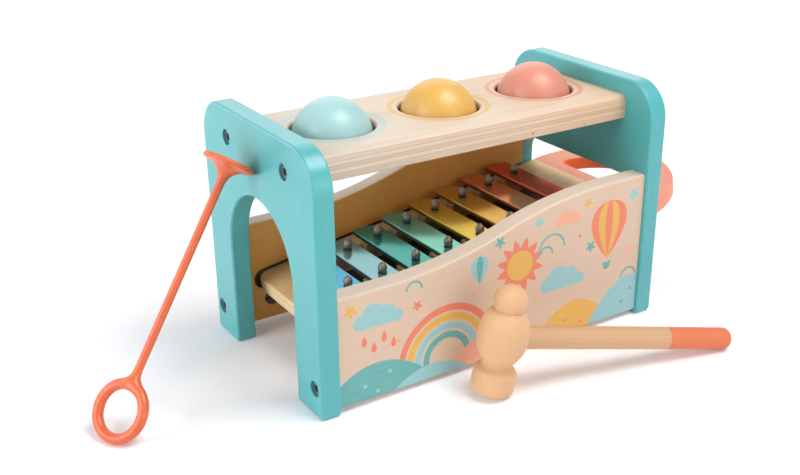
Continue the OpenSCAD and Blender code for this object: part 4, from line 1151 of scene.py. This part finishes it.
class BENCH_OT_mallet(bpy.types.Operator):
    """Turns the mallet's head and handle, and dips the handle's tip in paint"""

    bl_idname = "bench.mallet"
    bl_label = "Mallet"

    def execute(self, context):
        base = mallet_matrix()
        a = np.linspace(0, math.pi / 2, 13)
        foot = np.stack([FOOT_R * (1 - np.cos(a)), HEAD_FLAT + FOOT_R * np.sin(a)], 1)
        waist = spline([(4.0, 12.4), (8.0, 12.45), (12.6, 12.35), (14.6, 11.3), (16.2, 9.3), (17.4, 8.75),
                        (19.0, 9.15), (22.5, 11.1), (26.5, 13.2), (31.0, 14.25), (36.0, 14.3), (41.0, 13.9),
                        (45.0, 12.6), (48.2, 10.4), (50.3, 8.1)], 97)[1:]
        start = math.pi - math.acos((KNOB_X - KNOB_X0) / KNOB_R)
        knob = [KNOB_X, 0.0] + KNOB_R * rays(np.linspace(start, 0, 41))
        knob[-1, 1] = 0.0
        profile = np.concatenate([[(0.0, 0.0), (0.0, 4.0)], foot, waist, knob])
        head = moved(lathe(profile, 128), base @ turned("Y", -90))
        make_piece("mallet_head_turned", head, self.head_wood(base), "mallet", ["mallet_head"], "mallet_wood")
        tip = np.stack([MALLET_L - TIP_R * (1 - np.sin(a)), TIP_FLAT + TIP_R * np.cos(a)], 1)
        shaft = np.stack([np.linspace(10.0, 140.0, 40), np.full(40, HANDLE_R)], 1)
        profile = np.concatenate([[(8.0, 0.0), (8.0, 3.0), (8.0, 6.4)], shaft, tip, [(MALLET_L, 0.0)]])
        handle = moved(lathe(profile, 72), base @ shifted(0, 0, HANDLE_Z))
        make_piece("mallet_handle_dipped", handle, self.handle_wood(base), "mallet", ["mallet_handle"],
                   "handle_wood")
        return {"FINISHED"}

    @staticmethod
    def mapped(n, base):
        """A Mapping node's vector in the mallet's own frame."""
        m = Matrix(base.tolist())
        return n.mapped(spot(*m.translation), tuple(m.to_euler("XYZ")))

    def head_wood(self, base):
        """Beech turned across its grain, which runs up the head."""
        material, n, shader = new_material("head_beech")
        x, y, z = n.split(self.mapped(n, base))
        finish_wood(n, shader, beech(n, n.combine(z, x, y), Ring=0.0031), 0.00002)
        return material

    def handle_wood(self, base):
        """Beech along the handle, with paint beyond a line square to it."""
        material, n, shader = new_material("handle_beech")
        at = self.mapped(n, base)
        wood = beech(n, at, 0.86, Ring=0.0024, Rings=0.3)
        film = paint_film(n, at, colours().tip, 0.06, 0.4)
        mask = n.soft_step(n.split(at)[0] - (MALLET_L * MM - sizes().dip_length), 7000.0)
        finish_wood(n, shader, wood, 0.00002, n.mix(mask, wood["Color"], film["Color"]))
        return material


def beater_matrix():
    """Leans the beater on the left end, by the same formula as the solids: its stem runs along X."""
    up, turn, roll, gap, rim = 53.7, 16.4, 9.6, 0.3, DISC_T / 2
    along_x = math.cos(math.radians(up)) * math.cos(math.radians(turn))
    level = math.cos(math.radians(roll)) * math.cos(math.radians(up))
    x = -gap - rim - (DISC_R - rim) * math.sqrt(1 - along_x ** 2) - (BEATER_L - rim) * along_x
    z = FINGER_R * math.sqrt(1 - level ** 2) + FINGER_TUBE
    return shifted(x, -19.6, z) @ turned("Z", turn) @ turned("Y", -up) @ turned("X", roll)


def soft_union(a, b, width):
    """Two distances as one: the smaller, less h h width / 4 where they differ by less than the width,
    with h = 1 - |a - b| / width."""
    h = np.maximum(width - np.abs(a - b), 0.0) / width
    return np.minimum(a, b) - h * h * width / 4


def finger_ring_surface(count=144, sides=40):
    """The ring with the stem's foot: rays from the ring's centre line meet the soft union of both.

    A point is the centre line's plus a distance d along a turning unit vector square to it. d starts at
    the tube's radius and steps towards the surface where the distance to the soft union is 0."""
    t = np.linspace(0, 2 * math.pi, count, endpoint=False)
    s = np.linspace(0, 2 * math.pi, sides, endpoint=False)
    t, s = np.meshgrid(t, s, indexing="ij")
    radial = np.stack([np.cos(t), np.sin(t), np.zeros_like(t)], -1)
    ray = radial * np.cos(s)[..., None] + np.array([0.0, 0.0, 1.0]) * np.sin(s)[..., None]
    middle = radial * FINGER_R
    d = np.full(t.shape, FINGER_TUBE)

    def distance(p):
        ring = np.hypot(np.hypot(p[..., 0], p[..., 1]) - FINGER_R, p[..., 2]) - FINGER_TUBE
        stem = np.hypot(p[..., 1], p[..., 2]) - STEM_R
        stem = np.maximum(stem, FINGER_R - p[..., 0])
        return soft_union(ring, stem, 5.5)

    for _ in range(40):
        d = np.clip(d - 0.6 * distance(middle + ray * d[..., None]), 0.5 * FINGER_TUBE, 2.2 * FINGER_TUBE)
    points = middle + ray * d[..., None]
    du = np.roll(points, -1, 0) - np.roll(points, 1, 0)
    dv = np.roll(points, -1, 1) - np.roll(points, 1, 1)
    normals = np.cross(du, dv)
    quads = ring_quads(count + 1, sides) % (count * sides)
    flip = np.sign((normals * (points - middle)).sum(-1).mean())
    if flip > 0:
        quads = quads[:, ::-1]
    return points.reshape(-1, 3), flip * normals.reshape(-1, 3), quads, np.zeros((0, 3), int)


class BENCH_OT_beater(bpy.types.Operator):
    """Moulds the beater: a finger ring that runs softly into the stem, and a flared disc with a round rim"""

    bl_idname = "bench.beater"
    bl_label = "Beater"

    def execute(self, context):
        start, reach, back = FINGER_R + FINGER_TUBE * 0.4, DISC_R - DISC_T / 2, BEATER_L - DISC_T
        foot = [(start, 0.0), (start, 2.0), (start + 0.4, 2.6)]
        x = np.linspace(FINGER_R + 4.0, FINGER_R + 14.0, 21)
        swell = np.stack([x, STEM_R + 1.25 * np.clip((FINGER_R + 11.0 - x) / 9.0, 0, 1) ** 2.2], 1)
        stem = np.stack([np.linspace(FINGER_R + 15.0, BEATER_L - 15.0, 40), np.full(40, STEM_R)], 1)
        a = np.linspace(0, 1, 33)[1:, None]
        p0, p1, p2, p3 = np.array([(BEATER_L - 14.0, STEM_R), (back - 2.2, STEM_R + 0.4),
                                   (back - 1.0, STEM_R + 5.5), (back, reach)])
        flare = (1 - a) ** 3 * p0 + 3 * (1 - a) ** 2 * a * p1 + 3 * (1 - a) * a ** 2 * p2 + a ** 3 * p3
        b = np.linspace(math.pi, 0, 17)[1:]
        rim = [BEATER_L - DISC_T / 2, reach] + DISC_T / 2 * rays(b)
        face = np.stack([np.full(8, BEATER_L), np.linspace(reach, 0, 9)[1:]], 1)
        profile = np.concatenate([foot, swell, stem, flare, rim, face])
        base = beater_matrix()
        surface = joined([moved(finger_ring_surface(), base), moved(lathe(profile, 72), base)])
        material, n, shader = new_material("orange_plastic")
        at, paint = n.mapped(), colours().beater
        fine = n.noise(at, 900.0, 2.0)
        colour = n.mix(n.remap(n.noise(at, 35.0, 2.0), 0.3, 0.7), paint, scaled(paint, 0.88))
        n.dress(shader, colour, n.remap(fine, 0.3, 0.7, 0.26, 0.34), fine, 0.00001)
        shader.inputs["Subsurface Weight"].default_value = 0.06
        shader.inputs["Subsurface Radius"].default_value = (0.003, 0.0012, 0.0006)
        make_piece("beater_moulded", surface, material, "beater", ["beater"], "beater_plastic")
        return {"FINISHED"}


class BENCH_OT_stage(bpy.types.Operator):
    """Sets the pale floor, the studio lights and the camera"""

    bl_idname = "bench.stage"
    bl_label = "Floor, Lights and Camera"

    def execute(self, context):
        scene = context.scene
        mesh, s = bpy.data.meshes.new("floor"), 6.0
        mesh.from_pydata([(-s, -s, 0), (s, -s, 0), (s, s, 0), (-s, s, 0)], [], [(0, 1, 2, 3)])
        floor = bpy.data.objects.new("floor", mesh)
        scene.collection.objects.link(floor)
        material, n, shader = new_material("floor_white")
        shader.inputs["Base Color"].default_value = (0.90, 0.895, 0.925, 1)
        shader.inputs["Roughness"].default_value = 0.75
        # Painted light: the floor glows, faintly next to the bench, which lightens its shadows, and more
        # strongly further out, so that it reads as a white backdrop.
        shader.inputs["Emission Color"].default_value = (1.0, 1.0, 1.0, 1)
        far = n.vector("LENGTH", n.mapped())
        n.feed(shader.inputs["Emission Strength"], n.remap(far, 0.45, 1.4, 0.10, 0.7))
        mesh.materials.append(material)
        world = bpy.data.worlds.new("studio")
        world.use_nodes = True
        sky = Nodes(world.node_tree)
        path = sky.values(sky.add("ShaderNodeLightPath").outputs)
        seen = sky.math("MAXIMUM", path["Is Camera Ray"], path["Is Glossy Ray"] * 0.6)
        background = world.node_tree.nodes["Background"].inputs
        background["Color"].default_value = (1.0, 1.0, 1.0, 1)
        sky.feed(background["Strength"], sky.remap(seen, 0.0, 1.0, 0.20, 1.0))
        scene.world = world
        for name, place, size, power in (("key", (0.35, -0.45, 1.35), 0.8, 14.9),
                                         ("left", (-1.35, 0.00, 0.58), 0.9, 12.5),
                                         ("front", (0.42, -1.55, 0.50), 0.9, 5.9),
                                         ("back", (0.8, 1.4, 1.1), 1.6, 8.0),
                                         ("rim", (-1.1, 1.5, 0.45), 1.0, 6.0)):
            lamp = bpy.data.lights.new(name, "AREA")
            lamp.size, lamp.energy = size, power
            holder = bpy.data.objects.new(name, lamp)
            holder.location = place
            holder.rotation_euler = (Vector((0, 0, 0.06)) - Vector(place)).to_track_quat("-Z", "Y").to_euler()
            scene.collection.objects.link(holder)
        camera, width, focal = bpy.data.cameras.new("camera"), 800.0, 1076.35
        camera.sensor_width, camera.lens = 36.0, 36.0 * focal / width
        camera.shift_x, camera.shift_y = -24.8 / width, -2.5 / width
        camera.clip_start, camera.clip_end = 0.01, 20.0
        holder = bpy.data.objects.new("camera", camera)
        holder.location = spot(-225.9, -506.1, 317.6)
        a, e = math.radians(-33.60), math.radians(23.02)
        back = Vector((math.sin(a) * math.cos(e), -math.cos(a) * math.cos(e), math.sin(e)))
        holder.rotation_euler = (-back).to_track_quat("-Z", "Y").to_euler()
        scene.collection.objects.link(holder)
        scene.camera = holder
        scene.view_settings.view_transform = "Standard"
        return {"FINISHED"}


class BENCH_PT_panel(bpy.types.Panel):
    """Lists the bench's steps, sizes and colours in the sidebar"""

    bl_label = "Pounding Bench"
    bl_idname = "BENCH_PT_panel"
    bl_space_type = "VIEW_3D"
    bl_region_type = "UI"
    bl_category = "Pounding Bench"

    def draw(self, context):
        column = self.layout.column(align=True)
        for step in STEPS:
            column.operator(step.bl_idname)
        for group in (context.scene.bench_sizes, context.scene.bench_colours):
            box = self.layout.box()
            for name in group.__annotations__:
                box.prop(group, name)


STEPS = (BENCH_OT_ends, BENCH_OT_top_board, BENCH_OT_side_panels, BENCH_OT_balls, BENCH_OT_fasteners,
         BENCH_OT_tray, BENCH_OT_sound_bars, BENCH_OT_mallet, BENCH_OT_beater, BENCH_OT_stage)
CLASSES = (BenchSizes, BenchColours, *STEPS, BENCH_PT_panel)


def register():
    for item in CLASSES:
        bpy.utils.register_class(item)
    bpy.types.Scene.bench_sizes = PointerProperty(type=BenchSizes)
    bpy.types.Scene.bench_colours = PointerProperty(type=BenchColours)


def unregister():
    del bpy.types.Scene.bench_colours
    del bpy.types.Scene.bench_sizes
    for item in reversed(CLASSES):
        bpy.utils.unregister_class(item)


def main():
    register()
    for step in (bpy.ops.bench.ends, bpy.ops.bench.top_board, bpy.ops.bench.side_panels, bpy.ops.bench.balls,
                 bpy.ops.bench.fasteners, bpy.ops.bench.tray, bpy.ops.bench.sound_bars, bpy.ops.bench.mallet,
                 bpy.ops.bench.beater, bpy.ops.bench.stage):
        step()


if __name__ == "__main__":
    main()
